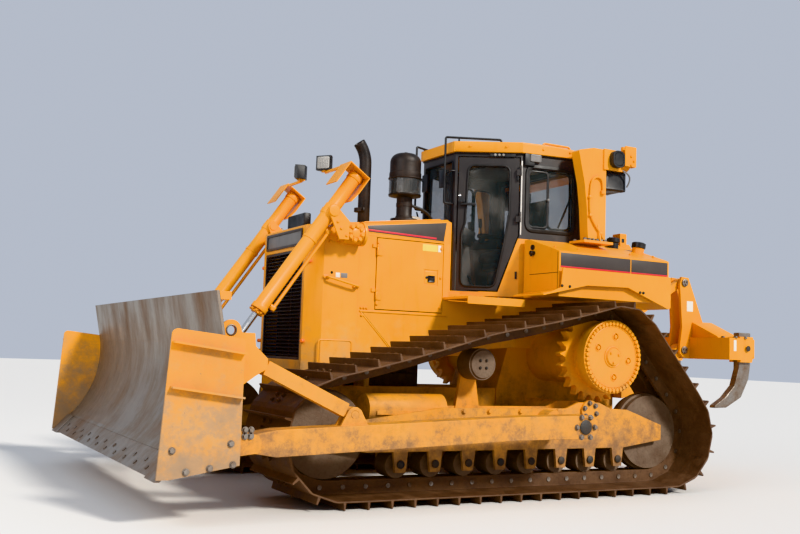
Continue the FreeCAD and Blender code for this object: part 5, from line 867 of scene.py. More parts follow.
def addDoorFittings():
    for side, hand in ((1, "left"), (-1, "right")):
        body = "cab_door_" + hand
        outline = roundedOutline(doorGlassLine, 0.075, 7)
        spots = [at(*doorSpot(side, along, z, 0.002)) for along, z in outline]
        finishPiece(pipe("door_gasket_" + hand, spots, doorFittings["gasket"], closed=True), "rubber", body)
        near, far = doorFittings["handle"]
        z = doorFittings["handleZ"]
        grip = block("door_grip_" + hand, (0, 0, 0), (far - near, 0.020, 0.026), 0.006)
        pickFaces(grip, lambda middle, normal: normal.x > 0.9)
        bpy.ops.transform.resize(value=(1, 1, 0.6))
        leaveEdit()
        turn = facePlane(doorSpot(side, near, z - 0.013, 0.034), (doorWall["along"][0], side * doorWall["along"][1], 0), (0, 0, 1))
        grip.matrix_world = turn @ Matrix.Rotation(math.radians(90), 4, "X") @ Matrix.Translation(-at(0, 0, 0))
        applyPlace(grip)
        post = rod("grip_post", doorSpot(side, far - 0.018, z, -0.004), doorSpot(side, far - 0.018, z, 0.05), 0.016, 20)
        rose = rod("grip_rose", doorSpot(side, far - 0.018, z, -0.002), doorSpot(side, far - 0.018, z, 0.010), 0.028, 24)
        finishPiece(joined("door_handle_" + hand, [grip, post, rose]), "black", body)
        lock = rod("door_lock_" + hand, doorSpot(side, doorFittings["lock"] - 0.022, doorFittings["lockZ"], -0.002),
                   doorSpot(side, doorFittings["lock"] - 0.022, doorFittings["lockZ"], 0.008), 0.012, 20, 0.25, -0.15)
        finishPiece(lock, "chrome", body)
        leaves = []
        for height in doorFittings["hinges"]:
            leaves.append(rod("door_hinge", doorSpot(side, 0.028, height, 0.010), doorSpot(side, 0.028, height + 0.07, 0.010), 0.0105, 16))
        finishPiece(joined("door_hinge_caps_" + hand, leaves), "black", body)
        # three small lights over the door and the boxed lamp behind them
        near, far = 0.055, 0.305
        strip = plate("door_light_strip_" + hand, [roundedOutline([(-side * far, 3.163), (-side * far, 3.199), (-side * near, 3.199), (-side * near, 3.163)], 0.012, 3)],
                      doorPlane(side, 0.0002), 0.016, 0.003)
        finishPiece(strip, "black")
        discs = [rod("door_light", doorSpot(side, along, 3.182, 0.012), doorSpot(side, along, 3.182, 0.021), 0.0125, 16, 0.2, 0.2)
                 for along in (0.175, 0.215, 0.255)]
        finishPiece(joined("door_lights_" + hand, discs), "lens")


addDoorFittings()

# rear side windows: outer frame, sliding panes' frames and the middle bar; their walls run from the post to the rear

rearWall = {"post": (0.420, 0.660), "along": (-0.99050, 0.13757), "out": (0.13757, 0.99050)}
rearFrame = {"outer": [(0.055, 3.095), (0.055, 2.500), (0.110, 2.440), (0.575, 2.440), (0.600, 2.470), (0.600, 3.095)],
             "inner": [(0.085, 3.068), (0.085, 2.480), (0.135, 2.468), (0.585, 2.468), (0.590, 3.068)], "bar": 0.300}


def rearSpot(side, along, z, out=0.0):
    x = rearWall["post"][0] + rearWall["along"][0] * along + rearWall["out"][0] * out
    y = rearWall["post"][1] + rearWall["along"][1] * along + rearWall["out"][1] * out
    return (x, side * y, z)


def rearPlane(side, out=0.0):
    along = Vector((rearWall["along"][0], side * rearWall["along"][1], 0))
    return facePlane(rearSpot(side, 0, 0, out), side * along, (0, 0, 1))


def addRearWindows():
    for side, hand in ((1, "left"), (-1, "right")):
        outer = roundedOutline([(side * along, z) for along, z in ((0.052, 3.105), (0.052, 2.432), (0.625, 2.432), (0.625, 3.105))], 0.10, 8)
        inner = roundedOutline([(side * along, z) for along, z in ((0.083, 3.070), (0.083, 2.466), (0.592, 2.466), (0.592, 3.070))], 0.075, 8)
        frameRim = plate("rear_window_rim_" + hand, [outer, inner], rearPlane(side, -0.004), 0.016, 0.005)
        finishPiece(frameRim, "rubber")
        pane = roundedOutline([(side * along, z) for along, z in ((0.090, 3.062), (0.090, 2.474), (0.325, 2.474), (0.325, 3.062))], 0.06, 6)
        hole = roundedOutline([(side * along, z) for along, z in ((0.112, 3.040), (0.112, 2.496), (0.303, 2.496), (0.303, 3.040))], 0.05, 6)
        front = plate("sliding_pane_rim", [pane, hole], rearPlane(side, -0.030), 0.014, 0.004)
        pane = roundedOutline([(side * along, z) for along, z in ((0.315, 3.062), (0.315, 2.474), (0.585, 2.474), (0.585, 3.062))], 0.06, 6)
        hole = roundedOutline([(side * along, z) for along, z in ((0.337, 3.040), (0.337, 2.496), (0.563, 2.496), (0.563, 3.040))], 0.05, 6)
        rear = plate("sliding_pane_rim", [pane, hole], rearPlane(side, -0.044), 0.014, 0.004)
        finishPiece(joined("sliding_pane_rims_" + hand, [front, rear]), "black")
        latch = rod("pane_latch_" + hand, rearSpot(side, 0.313, 2.77, -0.022), rearSpot(side, 0.313, 2.77, 0.004), 0.012, 16)
        finishPiece(latch, "grey")
        # a whitish strip along the post: a painted highlight, the glint on the door's rear edge
        strip = plate("post_painted_highlight_" + hand, [[(side * along, z) for along, z in ((0.004, 2.40), (0.004, 3.13), (0.016, 3.13), (0.016, 2.40))]],
                      rearPlane(side, 0.0002), 0.003, 0.0008)
        finishPiece(strip, "white")
        lampBox = plate("post_lamp_" + hand, [roundedOutline([(side * along, z) for along, z in ((0.085, 3.128), (0.085, 3.202), (0.205, 3.202), (0.205, 3.128))], 0.008, 3)],
                        rearPlane(side, 0.0), 0.040, 0.006)
        pickFaces(lampBox, lambda middle, normal: normal.y * side > 0.9 and abs(middle.y) > 0.70)
        bpy.ops.mesh.inset(thickness=0.010, depth=-0.003)
        leaveEdit()
        finishPiece(lampBox, "grey")
        bracket = plate("post_lamp_bracket_" + hand, [[(side * along, z) for along, z in ((0.030, 3.085), (0.030, 3.205), (0.083, 3.205), (0.083, 3.14), (0.135, 3.12), (0.135, 3.085))]],
                        rearPlane(side, 0.0), 0.030, 0.004)
        finishPiece(bracket, "black")


addRearWindows()


# seams, wipers and mirrors on the cab, and the rim under its roof

cabTrim = {"seamZ": 3.197, "seam": 0.009}


def addCabTrim():
    corners = [(0.962, 0.313), (0.421, 0.664), (-0.302, 0.764), (-0.302, -0.764), (0.421, -0.664), (0.962, -0.313)]
    seam = pipe("roof_seal", [at(x, y, cabTrim["seamZ"]) for x, y in corners], cabTrim["seam"], closed=True)
    finishPiece(seam, "rubber")
    screen = roundedOutline([(0.262, 3.122), (0.262, 2.088), (-0.262, 2.088), (-0.262, 3.122)], 0.03, 4)
    finishPiece(pipe("windscreen_gasket", [at(0.961, y, z) for y, z in screen], 0.010, closed=True), "rubber")
    back = roundedOutline([(0.654, 3.122), (0.654, 2.468), (-0.654, 2.468), (-0.654, 3.122)], 0.03, 4)
    finishPiece(pipe("rear_screen_gasket", [at(-0.301, y, z) for y, z in back], 0.010, closed=True), "rubber")
    for number, (x, y, z, tilt, long) in enumerate(((0.968, -0.10, 2.14, 28, 0.62), (-0.311, 0.25, 2.52, -35, 0.46))):
        way = 1 if x > 0 else -1
        motor = block("wiper_motor", (x - 0.004 * way, y - 0.03, z - 0.055), (x + 0.030 * way, y + 0.03, z - 0.005), 0.008)
        arm = rod("wiper_arm", (x + 0.018 * way, y, z - 0.03), (x + 0.018 * way, y, z + long * 0.62), 0.006, 10)
        blade = block("wiper_blade", (x + 0.002 * way, y - 0.007, z + long * 0.15), (x + 0.016 * way, y + 0.007, z + long), 0.003)
        for part in (arm, blade):
            turned(part, tilt, (1, 0, 0), (x, y, z - 0.03))
        finishPiece(joined("wiper_%d" % number, [motor, arm, blade]), "black")
    for side, hand in ((1, "left"), (-1, "right")):
        stay = pipe("mirror_stay", [at(0.955, side * 0.30, 3.02), at(0.995, side * 0.30, 3.02), at(1.02, side * 0.27, 3.0), at(1.03, side * 0.20, 2.97)],
                    0.007, smooth=True)
        case = block("mirror_case", (1.005, side * 0.115, 2.86), (1.030, side * 0.225, 3.04), 0.009)
        finishPiece(joined("mirror_" + hand, [stay, case]), "black")
        bolts = [facing((x, side * y, 3.212 + rise), (0.5439 if x > 0.42 else 0.13757, side * (0.8392 if x > 0.42 else 0.9905), 0), 10)
                 for x, y, rise in ((0.86, 0.4152, 0.05), (0.56, 0.6096, 0.05), (0.20, 0.7257, 0.05), (-0.10, 0.7673, 0.05))]
        finishPiece(copies("roof_bolts_" + hand, smallBolt, bolts), "yellow")


addCabTrim()
print("cab outside done")


# cab inside: levers, screens, steering handles, arm rests and the floor mat

cabin = {"leverTop": 2.52, "floor": 1.822}


def addCabin():
    parts = []
    for x, y, lean, tall in ((0.22, 0.335, 0.02, 0.16), (0.30, 0.355, 0.025, 0.13), (0.20, -0.340, 0.02, 0.17), (0.33, -0.325, 0.03, 0.12)):
        stalk = pipe("lever_stalk", [at(x, y, 2.43), at(x, y, 2.43 + tall * 0.5), at(x + lean, y, 2.43 + tall)], 0.008, smooth=True)
        knob = rod("lever_knob", (x + lean, y, 2.43 + tall - 0.01), (x + lean * 1.3, y, 2.43 + tall + 0.075), 0.021, 16, 0.35, 0.3)
        boot = rod("lever_boot", (x, y, 2.425), (x, y, 2.46), 0.034, 20, 0.45, 0.35)
        parts += [stalk, knob, boot]
    finishPiece(joined("control_levers", parts), "black")
    dash = block("dash_panel", (0.70, -0.30, 2.30), (0.86, 0.30, 2.46), 0.02)
    turned(dash, -18, (0, 1, 0), (0.78, 0, 2.38))
    pickFaces(dash, lambda middle, normal: normal.x < -0.7)
    bpy.ops.mesh.inset(thickness=0.025, depth=-0.006)
    leaveEdit()
    finishPiece(dash, "black")
    dials = [rod("dial", (0.690, y, 2.375), (0.682, y, 2.378), 0.035, 24, 0.12, -0.03) for y in (-0.2, -0.1, 0.0, 0.1, 0.2)]
    finishPiece(joined("dash_dials", dials), "white")
    pads = [block("arm_pad", (-0.10, y - 0.045, 2.47), (0.24, y + 0.045, 2.52), 0.018) for y in (-0.335, 0.335)]
    posts = [rod("arm_post", (-0.02, y, 2.40), (-0.02, y, 2.475), 0.022, 16) for y in (-0.335, 0.335)]
    finishPiece(joined("arm_rests", pads + posts), "fabric")
    pedals = [block("pedal", (0.66, y - 0.05, 1.90), (0.685, y + 0.05, 2.02), 0.006) for y in (-0.16, 0.0, 0.16)]
    for pedal, y in zip(pedals, (-0.16, 0.0, 0.16)):
        turned(pedal, 28, (0, 1, 0), (0.67, y, 1.95))
    shafts = [rod("pedal_shaft", (0.675, y, 1.96), (0.80, y, 1.90), 0.012, 12) for y in (-0.16, 0.0, 0.16)]
    finishPiece(joined("pedals", pedals + shafts), "black")
    mat = block("floor_mat", (0.36, -0.28, 1.8205), (0.86, 0.28, 1.832), 0.003)
    pickFaces(mat, lambda middle, normal: normal.z > 0.9)
    bpy.ops.mesh.inset(thickness=0.03, depth=-0.004)
    leaveEdit()
    finishPiece(mat, "rubber")
    lining = block("head_lining", (-0.24, -0.60, 3.165), (0.40, 0.60, 3.20), 0.012)
    finishPiece(lining, "grey")
    horn = block("visor", (0.62, -0.24, 3.05), (0.90, 0.24, 3.065), 0.006)
    finishPiece(turned(horn, 15, (0, 1, 0), (0.8, 0, 3.06)), "glass")


addCabin()
print("cab inside done")


# roll-over frame: lamp lenses, conduit, foot bolts and the box under its beam

ropsLook = {"face": 0.960, "lens": (-0.500, 3.205), "lensSize": (0.060, 0.070), "foot": 2.369, "lampOut": 1.0383}


def addRopsDetail():
    for side, hand in ((1, "left"), (-1, "right")):
        x, z = ropsLook["lens"]
        wide, tall = ropsLook["lensSize"]
        plane = sidePlane(side, ropsLook["lampOut"] - 0.009)
        corners = [(-side * (x + dx * wide), z + dz * tall) for dx, dz in ((-1, -1), (-1, 1), (1, 1), (1, -1))]
        hole = [(-side * (x + dx * (wide - 0.012)), z + dz * (tall - 0.012)) for dx, dz in ((-1, -1), (-1, 1), (1, 1), (1, -1))]
        rim = plate("side_lamp_rim_" + hand, [roundedOutline(corners, 0.055, 8), roundedOutline(hole, 0.045, 8)], plane, 0.009, 0.002)
        finishPiece(rim, "black")
        lens = plate("side_lamp_lens_" + hand, [roundedOutline(hole, 0.045, 8)], plane, 0.0065, 0.002)
        pickFaces(lens, lambda middle, normal: normal.y * side > 0.95)
        bpy.ops.mesh.inset(thickness=0.018, depth=0.0015)
        leaveEdit()
        finishPiece(lens, "lens")
        y = side * (ropsLook["face"] + 0.016)
        route = [(-0.352, 2.872), (-0.352, 2.935), (-0.330, 3.000), (-0.262, 3.012), (-0.206, 2.965), (-0.192, 2.860), (-0.188, 2.640),
                 (-0.250, 2.535), (-0.330, 2.450), (-0.360, 2.400)]
        conduit = pipe("rops_conduit_" + hand, [at(x, y, z) for x, z in route], 0.0105, smooth=True)
        boss = rod("conduit_boss", (-0.352, y, 2.845), (-0.352, y, 2.880), 0.024, 20)
        clips = [block("conduit_clip", (x - 0.02, side * (ropsLook["face"] - 0.001), z - 0.012), (x + 0.02, side * (ropsLook["face"] + 0.030), z + 0.012), 0.004)
                 for x, z in ((-0.191, 2.80), (-0.200, 2.62), (-0.334, 2.45))]
        finishPiece(joined("rops_conduit_" + hand, [conduit, boss] + clips), "yellow")
        bolts = [facing((x, side * 0.986, ropsLook["foot"]), (0, 0, 1), 25 * number) for number, x in enumerate((-0.375, -0.325, -0.275, -0.225, -0.175, -0.125))]
        bolts += [facing((x, side * 0.815, ropsLook["foot"]), (0, 0, 1), 15) for x in (-0.36, -0.25, -0.14)]
        finishPiece(copies("rops_bolts_" + hand, largeBolt, bolts), "worn")
        plugs = [facing((x, side * 1.0262, z), (0, side, 0), 10) for x, z in ((-0.665, 3.255), (-0.665, 3.165), (-0.700, 3.21))]
        finishPiece(copies("lamp_guard_bolts_" + hand, smallBolt, plugs), "yellow")
        box = block("beam_box_" + hand, (-0.690, side * 0.66, 2.900), (-0.425, side * 0.93, 3.106), 0.02)
        pickFaces(box, lambda middle, normal: normal.z < -0.9)
        bpy.ops.transform.resize(value=(0.8, 0.9, 1))
        bpy.ops.mesh.inset(thickness=0.02, depth=-0.008)
        leaveEdit()
        pickFaces(box, lambda middle, normal: normal.y * side > 0.8)
        bpy.ops.mesh.inset(thickness=0.022, depth=-0.006)
        leaveEdit()
        finishPiece(box, "black")
        stay = pipe("lamp_stay_" + hand, [at(-0.60, side * 0.97, 3.11), at(-0.66, side * 0.985, 3.09), at(-0.70, side * 0.985, 3.02), at(-0.675, side * 0.95, 2.95)],
                    0.008, smooth=True)
        finishPiece(stay, "grey")
        rear = block("rear_lamp", (-0.735, side * 0.80, 3.150), (-0.701, side * 0.94, 3.262), 0.008)
        pickFaces(rear, lambda middle, normal: normal.x < -0.9)
        bpy.ops.mesh.inset(thickness=0.012, depth=-0.006)
        leaveEdit()
        rear.name = "rear_lamp_" + hand
        finishPiece(rear, "black")
        glassPlate = block("rear_lamp_glass_" + hand, (-0.7325, side * 0.818, 3.168), (-0.7295, side * 0.922, 3.244), 0.001)
        finishPiece(glassPlate, "lens")


addRopsDetail()


# front lamps: a ribbed lens in each recess and its rim

frontLamp = {"centre": (2.345, 0.285, 2.918), "turn": 37, "face": 0.045, "recess": 0.007, "half": 0.066, "low": 2.860, "high": 2.976}


def addFrontLamps():
    for side, hand in ((1, "left"), (-1, "right")):
        low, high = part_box("front_lamp_" + hand)
        centre = ((low[0] + high[0]) / 2 + originX, (low[1] + high[1]) / 2)
        angle = math.radians(frontLamp["turn"])
        out = Vector((math.cos(angle), side * math.sin(angle), 0))
        face = Vector((centre[0], centre[1], 0)) + out * (frontLamp["face"] - frontLamp["recess"])
        plane = facePlane((face.x, face.y, 0), (-math.sin(angle) * side, math.cos(angle), 0), (0, 0, 1))
        half, low, high = frontLamp["half"] - 0.003, frontLamp["low"] + 0.003, frontLamp["high"] - 0.003
        lens = plate("front_lens_" + hand, [roundedOutline([(-half, low), (-half, high), (half, high), (half, low)], 0.016, 4)], plane, 0.004, 0.001)
        ribs = []
        for number in range(7):
            x = -half + 0.012 + number * (2 * half - 0.024) / 6
            ribs.append(plate("lens_rib", [roundedOutline([(x - 0.004, low + 0.008), (x - 0.004, high - 0.008), (x + 0.004, high - 0.008), (x + 0.004, low + 0.008)], 0.003, 2)],
                              plane @ Matrix.Translation((0, 0, 0.0035)), 0.003, 0.001))
        finishPiece(joined("front_lens_" + hand, [lens] + ribs), "lens", "lift_cylinder_" + hand)


addFrontLamps()
print("lamps and roll-over frame done")


# fuel tank and fenders: filler, valve, seams, plugs and hand hold

tankFront = 0.3902
tankPieces = {"plug": (0.845, 2.262, 0.026), "valve": (0.862, 2.205), "caps": ((-0.80, 0.62, 2.42), (-0.98, 0.50, 2.44)),
              "sideCap": (-0.86, 0.90, 2.315), "box": ((-1.035, 0.44, 2.34), (-0.945, 0.565, 2.545))}


def addTankDetail():
    for side, hand in ((1, "left"), (-1, "right")):
        y, z, radius = tankPieces["plug"]
        plug = rod("tank_plug", (tankFront - 0.004, side * y, z), (tankFront + 0.012, side * y, z), radius, 24, 0.3, -0.2)
        y, z = tankPieces["valve"]
        valve = rod("tank_valve", (tankFront - 0.004, side * y, z), (tankFront + 0.045, side * y, z), 0.021, 16, 0.2, 0.1)
        tap = rod("tank_tap", (tankFront + 0.032, side * y, z - 0.03), (tankFront + 0.032, side * y, z + 0.012), 0.013, 12, 0.2, 0.2)
        finishPiece(joined("tank_valve_" + hand, [plug, valve, tap]), "black")
        front = facePlane((tankFront, 0, 0), (0, 1, 0), (0, 0, 1))
        seams = [plate("tank_seam", [[(side * 0.800, 2.000), (side * 0.800, 2.005), (side * 1.236, 2.005), (side * 1.236, 2.000)]], front, 0.0016, 0.0004),
                 plate("tank_seam", [[(side * 1.228, 1.80), (side * 1.228, 2.19), (side * 1.2325, 2.19), (side * 1.2325, 1.80)]], front, 0.0016, 0.0004)]
        finishPiece(joined("tank_seams_" + hand, seams), "gap")
        skirt = sidePlane(side, 1.3002)
        plugs = [facing((x, side * 1.3002, z), (0, side, 0), 0) for x, z in ((0.391, 1.875), (0.302, 1.873), (-0.551, 1.868), (-0.592, 1.867))]
        finishPiece(copies("fender_plugs_" + hand, smallBolt, plugs), "castIron")
        bolts = [facing((x, side * 1.10, 2.2502 + 0.0006), (0, side * 0.29, 0.957), 20) for x in (0.33, 0.05, -0.60, -0.90)]
        finishPiece(copies("tank_bolts_" + hand, smallBolt, bolts), "yellow")
        step = []
        for number in range(5):
            x = 0.435 + number * 0.030
            step.append(block("fender_cleat", (x, side * 0.90, 1.802), (x + 0.010, side * 1.22, 1.832 - number * 0.007), 0.002))
        finishPiece(joined("fender_cleats_" + hand, step), "yellow")
    filler = []
    for x, y, z in tankPieces["caps"]:
        filler += [rod("filler_neck", (x, y, z - 0.12), (x, y, z + 0.015), 0.055, 32, 0.1, 0.05),
                   rod("filler_cap", (x, y, z + 0.012), (x, y, z + 0.05), 0.066, 32, 0.22, 0.12)]
        filler.append(block("filler_grip", (x - 0.05, y - 0.009, z + 0.044), (x + 0.05, y + 0.009, z + 0.066), 0.004))
    finishPiece(joined("filler_caps", filler), "black")
    x, y, z = tankPieces["sideCap"]
    neck = rod("side_filler_neck", (x, y, z - 0.10), (x - 0.02, y + 0.01, z + 0.045), 0.060, 32, 0.1, 0.04)
    finishPiece(joined("side_filler_neck", [neck]), "yellow")
    cap = rod("side_filler_cap", (x - 0.02, y + 0.01, z + 0.042), (x - 0.026, y + 0.013, z + 0.088), 0.070, 32, 0.22, 0.12)
    grip = block("filler_grip", (x - 0.075, y + 0.004, z + 0.080), (x + 0.025, y + 0.022, z + 0.102), 0.004)
    finishPiece(joined("side_filler_cap", [cap, grip]), "black")
    low, high = tankPieces["box"]
    box = block("tank_rear_box", low, high, 0.010)
    pickFaces(box, lambda middle, normal: normal.y > 0.9)
    bpy.ops.mesh.inset(thickness=0.014, depth=-0.004)
    leaveEdit()
    finishPiece(box, "yellow")
    lids = [block("rear_lid", (-0.66, -0.42, 2.438), (-0.12, 0.42, 2.452), 0.005)]
    for y in (-0.3, 0.3):
        lids.append(block("lid_hinge", (-0.14, y - 0.05, 2.444), (-0.10, y + 0.05, 2.470), 0.006))
    finishPiece(joined("rear_lid", lids), "yellow")


addTankDetail()

# platforms: rows of grip studs beside the engine

gripLook = {"x": (0.66, 1.20), "y": (0.68, 1.00), "top": 1.7418, "step": 0.062}


def addGrips():
    stud = rod("grip_stud", (originX, 0, 0), (originX, 0, 0.006), 0.015, 12, 0.3, -0.08)
    for side, hand in ((1, "left"), (-1, "right")):
        places = []
        columns = int((gripLook["x"][1] - gripLook["x"][0]) / gripLook["step"]) + 1
        rows = int((gripLook["y"][1] - gripLook["y"][0]) / gripLook["step"]) + 1
        for column in range(columns):
            for row in range(rows):
                shift = gripLook["step"] / 2 if row % 2 else 0
                x = gripLook["x"][0] + column * gripLook["step"] + shift
                if x < gripLook["x"][1] + 0.02:
                    places.append(facing((x, side * (gripLook["y"][0] + row * gripLook["step"]), gripLook["top"]), (0, 0, 1)))
        finishPiece(copies("platform_grips_" + hand, stud, places), "worn")
    dropModel(stud)


addGrips()
print("tank, fenders and platforms done")


# final drives: rim bolts, ring, recessed nuts and the cap's screws

hub = {"x": -0.130, "z": 1.243, "face": 1.405, "rimBolts": 46, "rimRadius": 0.3085, "ring": 0.280, "bossRadius": 0.190,
       "bosses": (25, 100, 190, 265), "capFace": 1.431, "cap": 0.088}


def addHubs():
    for side, hand in ((1, "left"), (-1, "right")):
        centre = (hub["x"], side * hub["face"], hub["z"])
        finishPiece(copies("hub_bolts_" + hand, largeBolt, ringOf(hub["rimBolts"], hub["rimRadius"], centre, side, 3)), "yellowLow")
        turn = [math.radians(5 * step) for step in range(72)]
        ring = pipe("hub_ring", [at(hub["x"] + hub["ring"] * math.cos(angle), side * hub["face"], hub["z"] + hub["ring"] * math.sin(angle)) for angle in turn],
                    0.0055, closed=True)
        edge = pipe("hub_edge", [at(hub["x"] + 0.3315 * math.cos(angle), side * (hub["face"] - 0.004), hub["z"] + 0.3315 * math.sin(angle)) for angle in turn],
                    0.0075, closed=True)
        capRing = pipe("cap_ring", [at(hub["x"] + 0.092 * math.cos(angle), side * (hub["face"] + 0.003), hub["z"] + 0.092 * math.sin(angle)) for angle in turn],
                       0.007, closed=True)
        finishPiece(joined("hub_rings_" + hand, [ring, edge, capRing]), "yellowLow")
        # a thin dirt-brown ring under the rim bolts: painted shade of the gaps between the bolts, partly dirt
        circle = [[(-side * hub["x"] + radius * math.cos(angle), hub["z"] + radius * math.sin(angle)) for angle in turn] for radius in (0.327, 0.289)]
        dirtAndShadeRing = plate("hub_dirt_and_shade_ring_" + hand, circle, sidePlane(side, hub["face"]), 0.002, 0.0005)
        finishPiece(dirtAndShadeRing, "track")
        nuts = []
        cups = []
        for angle in hub["bosses"]:
            x = hub["x"] + hub["bossRadius"] * math.cos(math.radians(angle)) * side
            z = hub["z"] + hub["bossRadius"] * math.sin(math.radians(angle))
            nuts.append(facing((x, side * (hub["face"] - 0.014), z), (0, side, 0), angle))
            cups.append(pipe("boss_rim", [at(x + 0.034 * math.cos(other), side * hub["face"], z + 0.034 * math.sin(other)) for other in turn[::3]],
                             0.005, closed=True))
        finishPiece(joined("hub_boss_rims_" + hand, cups), "yellowLow")
        finishPiece(copies("hub_nuts_" + hand, largeBolt, nuts), "yellowLow")
        screws = ringOf(3, 0.055, (hub["x"], side * hub["capFace"], hub["z"]), side, 40)
        finishPiece(copies("hub_cap_screws_" + hand, smallBolt, screws), "yellowLow")


addHubs()


# track frames: roller end caps, pivot cover bolts, idler blocks

rollerLook = {"first": -0.290, "step": 0.330, "count": 8, "z": 0.300, "face": 1.308, "pivot": (0.060, 0.742), "pivotFace": 1.333}


def addFrameDetail():
    for side, hand in ((1, "left"), (-1, "right")):
        bolts = []
        caps = []
        for number in range(rollerLook["count"]):
            x = rollerLook["first"] + number * rollerLook["step"]
            caps.append(rod("roller_cap", (x, side * (rollerLook["face"] - 0.004), rollerLook["z"]), (x, side * (rollerLook["face"] + 0.012), rollerLook["z"]), 0.034, 24, 0.3, 0.15))
            bolts += [facing((x + dx, side * rollerLook["face"], rollerLook["z"] + dz), (0, side, 0), 12) for dx in (-0.045, 0.045) for dz in (-0.025, 0.045)]
        finishPiece(joined("roller_caps_" + hand, caps), "castIron")
        x, z = rollerLook["pivot"]
        finishPiece(copies("pivot_bolts_" + hand, largeBolt, ringOf(6, 0.072, (x, side * rollerLook["pivotFace"], z), side, 20)), "worn")
        frameBolts = [facing((x, side * rollerLook["face"], 0.735), (0, side, 0), 20) for x in (0.42, 0.83, 1.16, 1.42)]
        finishPiece(copies("frame_bolts_" + hand, largeBolt, frameBolts), "yellowLow")
        arm = ringOf(6, 0.095, (0.55, side * 1.860, 0.64), side, 0)
        finishPiece(copies("arm_pin_bolts_" + hand, largeBolt, arm), "worn")
        cap = rod("arm_pin_cap_" + hand, (0.55, side * 1.850, 0.64), (0.55, side * 1.866, 0.64), 0.062, 32, 0.25, 0.12)
        finishPiece(cap, "castIron")
        carrier = ringOf(4, 0.045, (1.2, side * 1.259, 1.137), side, 45)
        finishPiece(copies("carrier_bolts_" + hand, smallBolt, carrier), "castIron")


addFrameDetail()
print("hubs and track frames done")




# tracks: four bolts on each shoe and the pins' ends, placed from the loops' own grouser faces

beltLook = {"high": (0.052, 0.062), "wide": 0.9, "boltRows": (0.032, 0.088), "boltOff": 0.067, "pinBack": 0.075, "pinDrop": 0.062,
            "pinOff": 0.0885, "middle": (0.8, 0.95)}


def shoePlaces(node):
    # the foot of each grouser's leading face: where it stands, the way ahead and the way out
    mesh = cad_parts[node].data
    centre = Vector((beltLook["middle"][0] - originX + 0.2, 0, beltLook["middle"][1]))
    found = {}
    for face in mesh.polygons:
        spots = [mesh.vertices[number].co for number in face.vertices]
        if max(spot.y for spot in spots) - min(spot.y for spot in spots) < beltLook["wide"]:
            continue
        ahead = Vector((face.normal.x, 0, face.normal.z)).normalized()
        out = Vector((-ahead.z, 0, ahead.x))
        heights = [spot.dot(out) for spot in spots]
        tall = max(heights) - min(heights)
        if not beltLook["high"][0] < tall < beltLook["high"][1] or out.dot(face.center - centre) < 0:
            continue
        foot = spots[heights.index(min(heights))]
        key = (round(foot.x, 2), round(foot.z, 2))
        found[key] = (Vector((foot.x, 0, foot.z)), ahead, out)
    return list(found.values())


def addTrackBolts():
    bolt = hexBolt(0.0145, 0.015)
    pin = rod("pin_end", (originX, 0, 0), (originX, 0, 0.006), 0.021, 12, 0.35, -0.08)
    for side, hand in ((1, "left"), (-1, "right")):
        middle = side * 1.143
        bolts, pins = [], []
        for foot, ahead, out in shoePlaces("track_" + hand):
            turn = out.to_track_quat("Z", "Y").to_matrix().to_4x4()
            for run in beltLook["boltRows"]:
                for off in (-beltLook["boltOff"], beltLook["boltOff"]):
                    spot = foot + ahead * run + Vector((0, middle + off, 0))
                    bolts.append(Matrix.Translation(spot) @ turn)
            for way in (-1, 1):
                spot = foot - ahead * beltLook["pinBack"] - out * beltLook["pinDrop"]
                spot = Vector((spot.x, middle + way * (beltLook["pinOff"] - 0.0005), spot.z))
                pins.append(Matrix.Translation(spot) @ Vector((0, way, 0)).to_track_quat("Z", "Y").to_matrix().to_4x4())
        finishPiece(copies("shoe_bolts_" + hand, bolt, bolts), "track")
        finishPiece(copies("track_pin_ends_" + hand, pin, pins), "worn")
    dropModel(bolt)
    dropModel(pin)


addTrackBolts()
print("track bolts done")


# lift cylinders: gland, tie bolts and hoses on the barrel, bolts on the yokes and the rod's eye

lift = {"x": 2.478, "z": 2.410, "y": 0.715, "down": (0.5707, 0, -0.8211), "barrel": 0.062, "gland": 1.080}


def liftSpot(side, along, up=0.0, out=0.0):
    # along the cylinder from its trunnion, up across it and out to its side
    x = lift["x"] + lift["down"][0] * along + 0.8211 * up
    z = lift["z"] + lift["down"][2] * along + 0.5707 * up
    return (x, side * (lift["y"] + out), z)


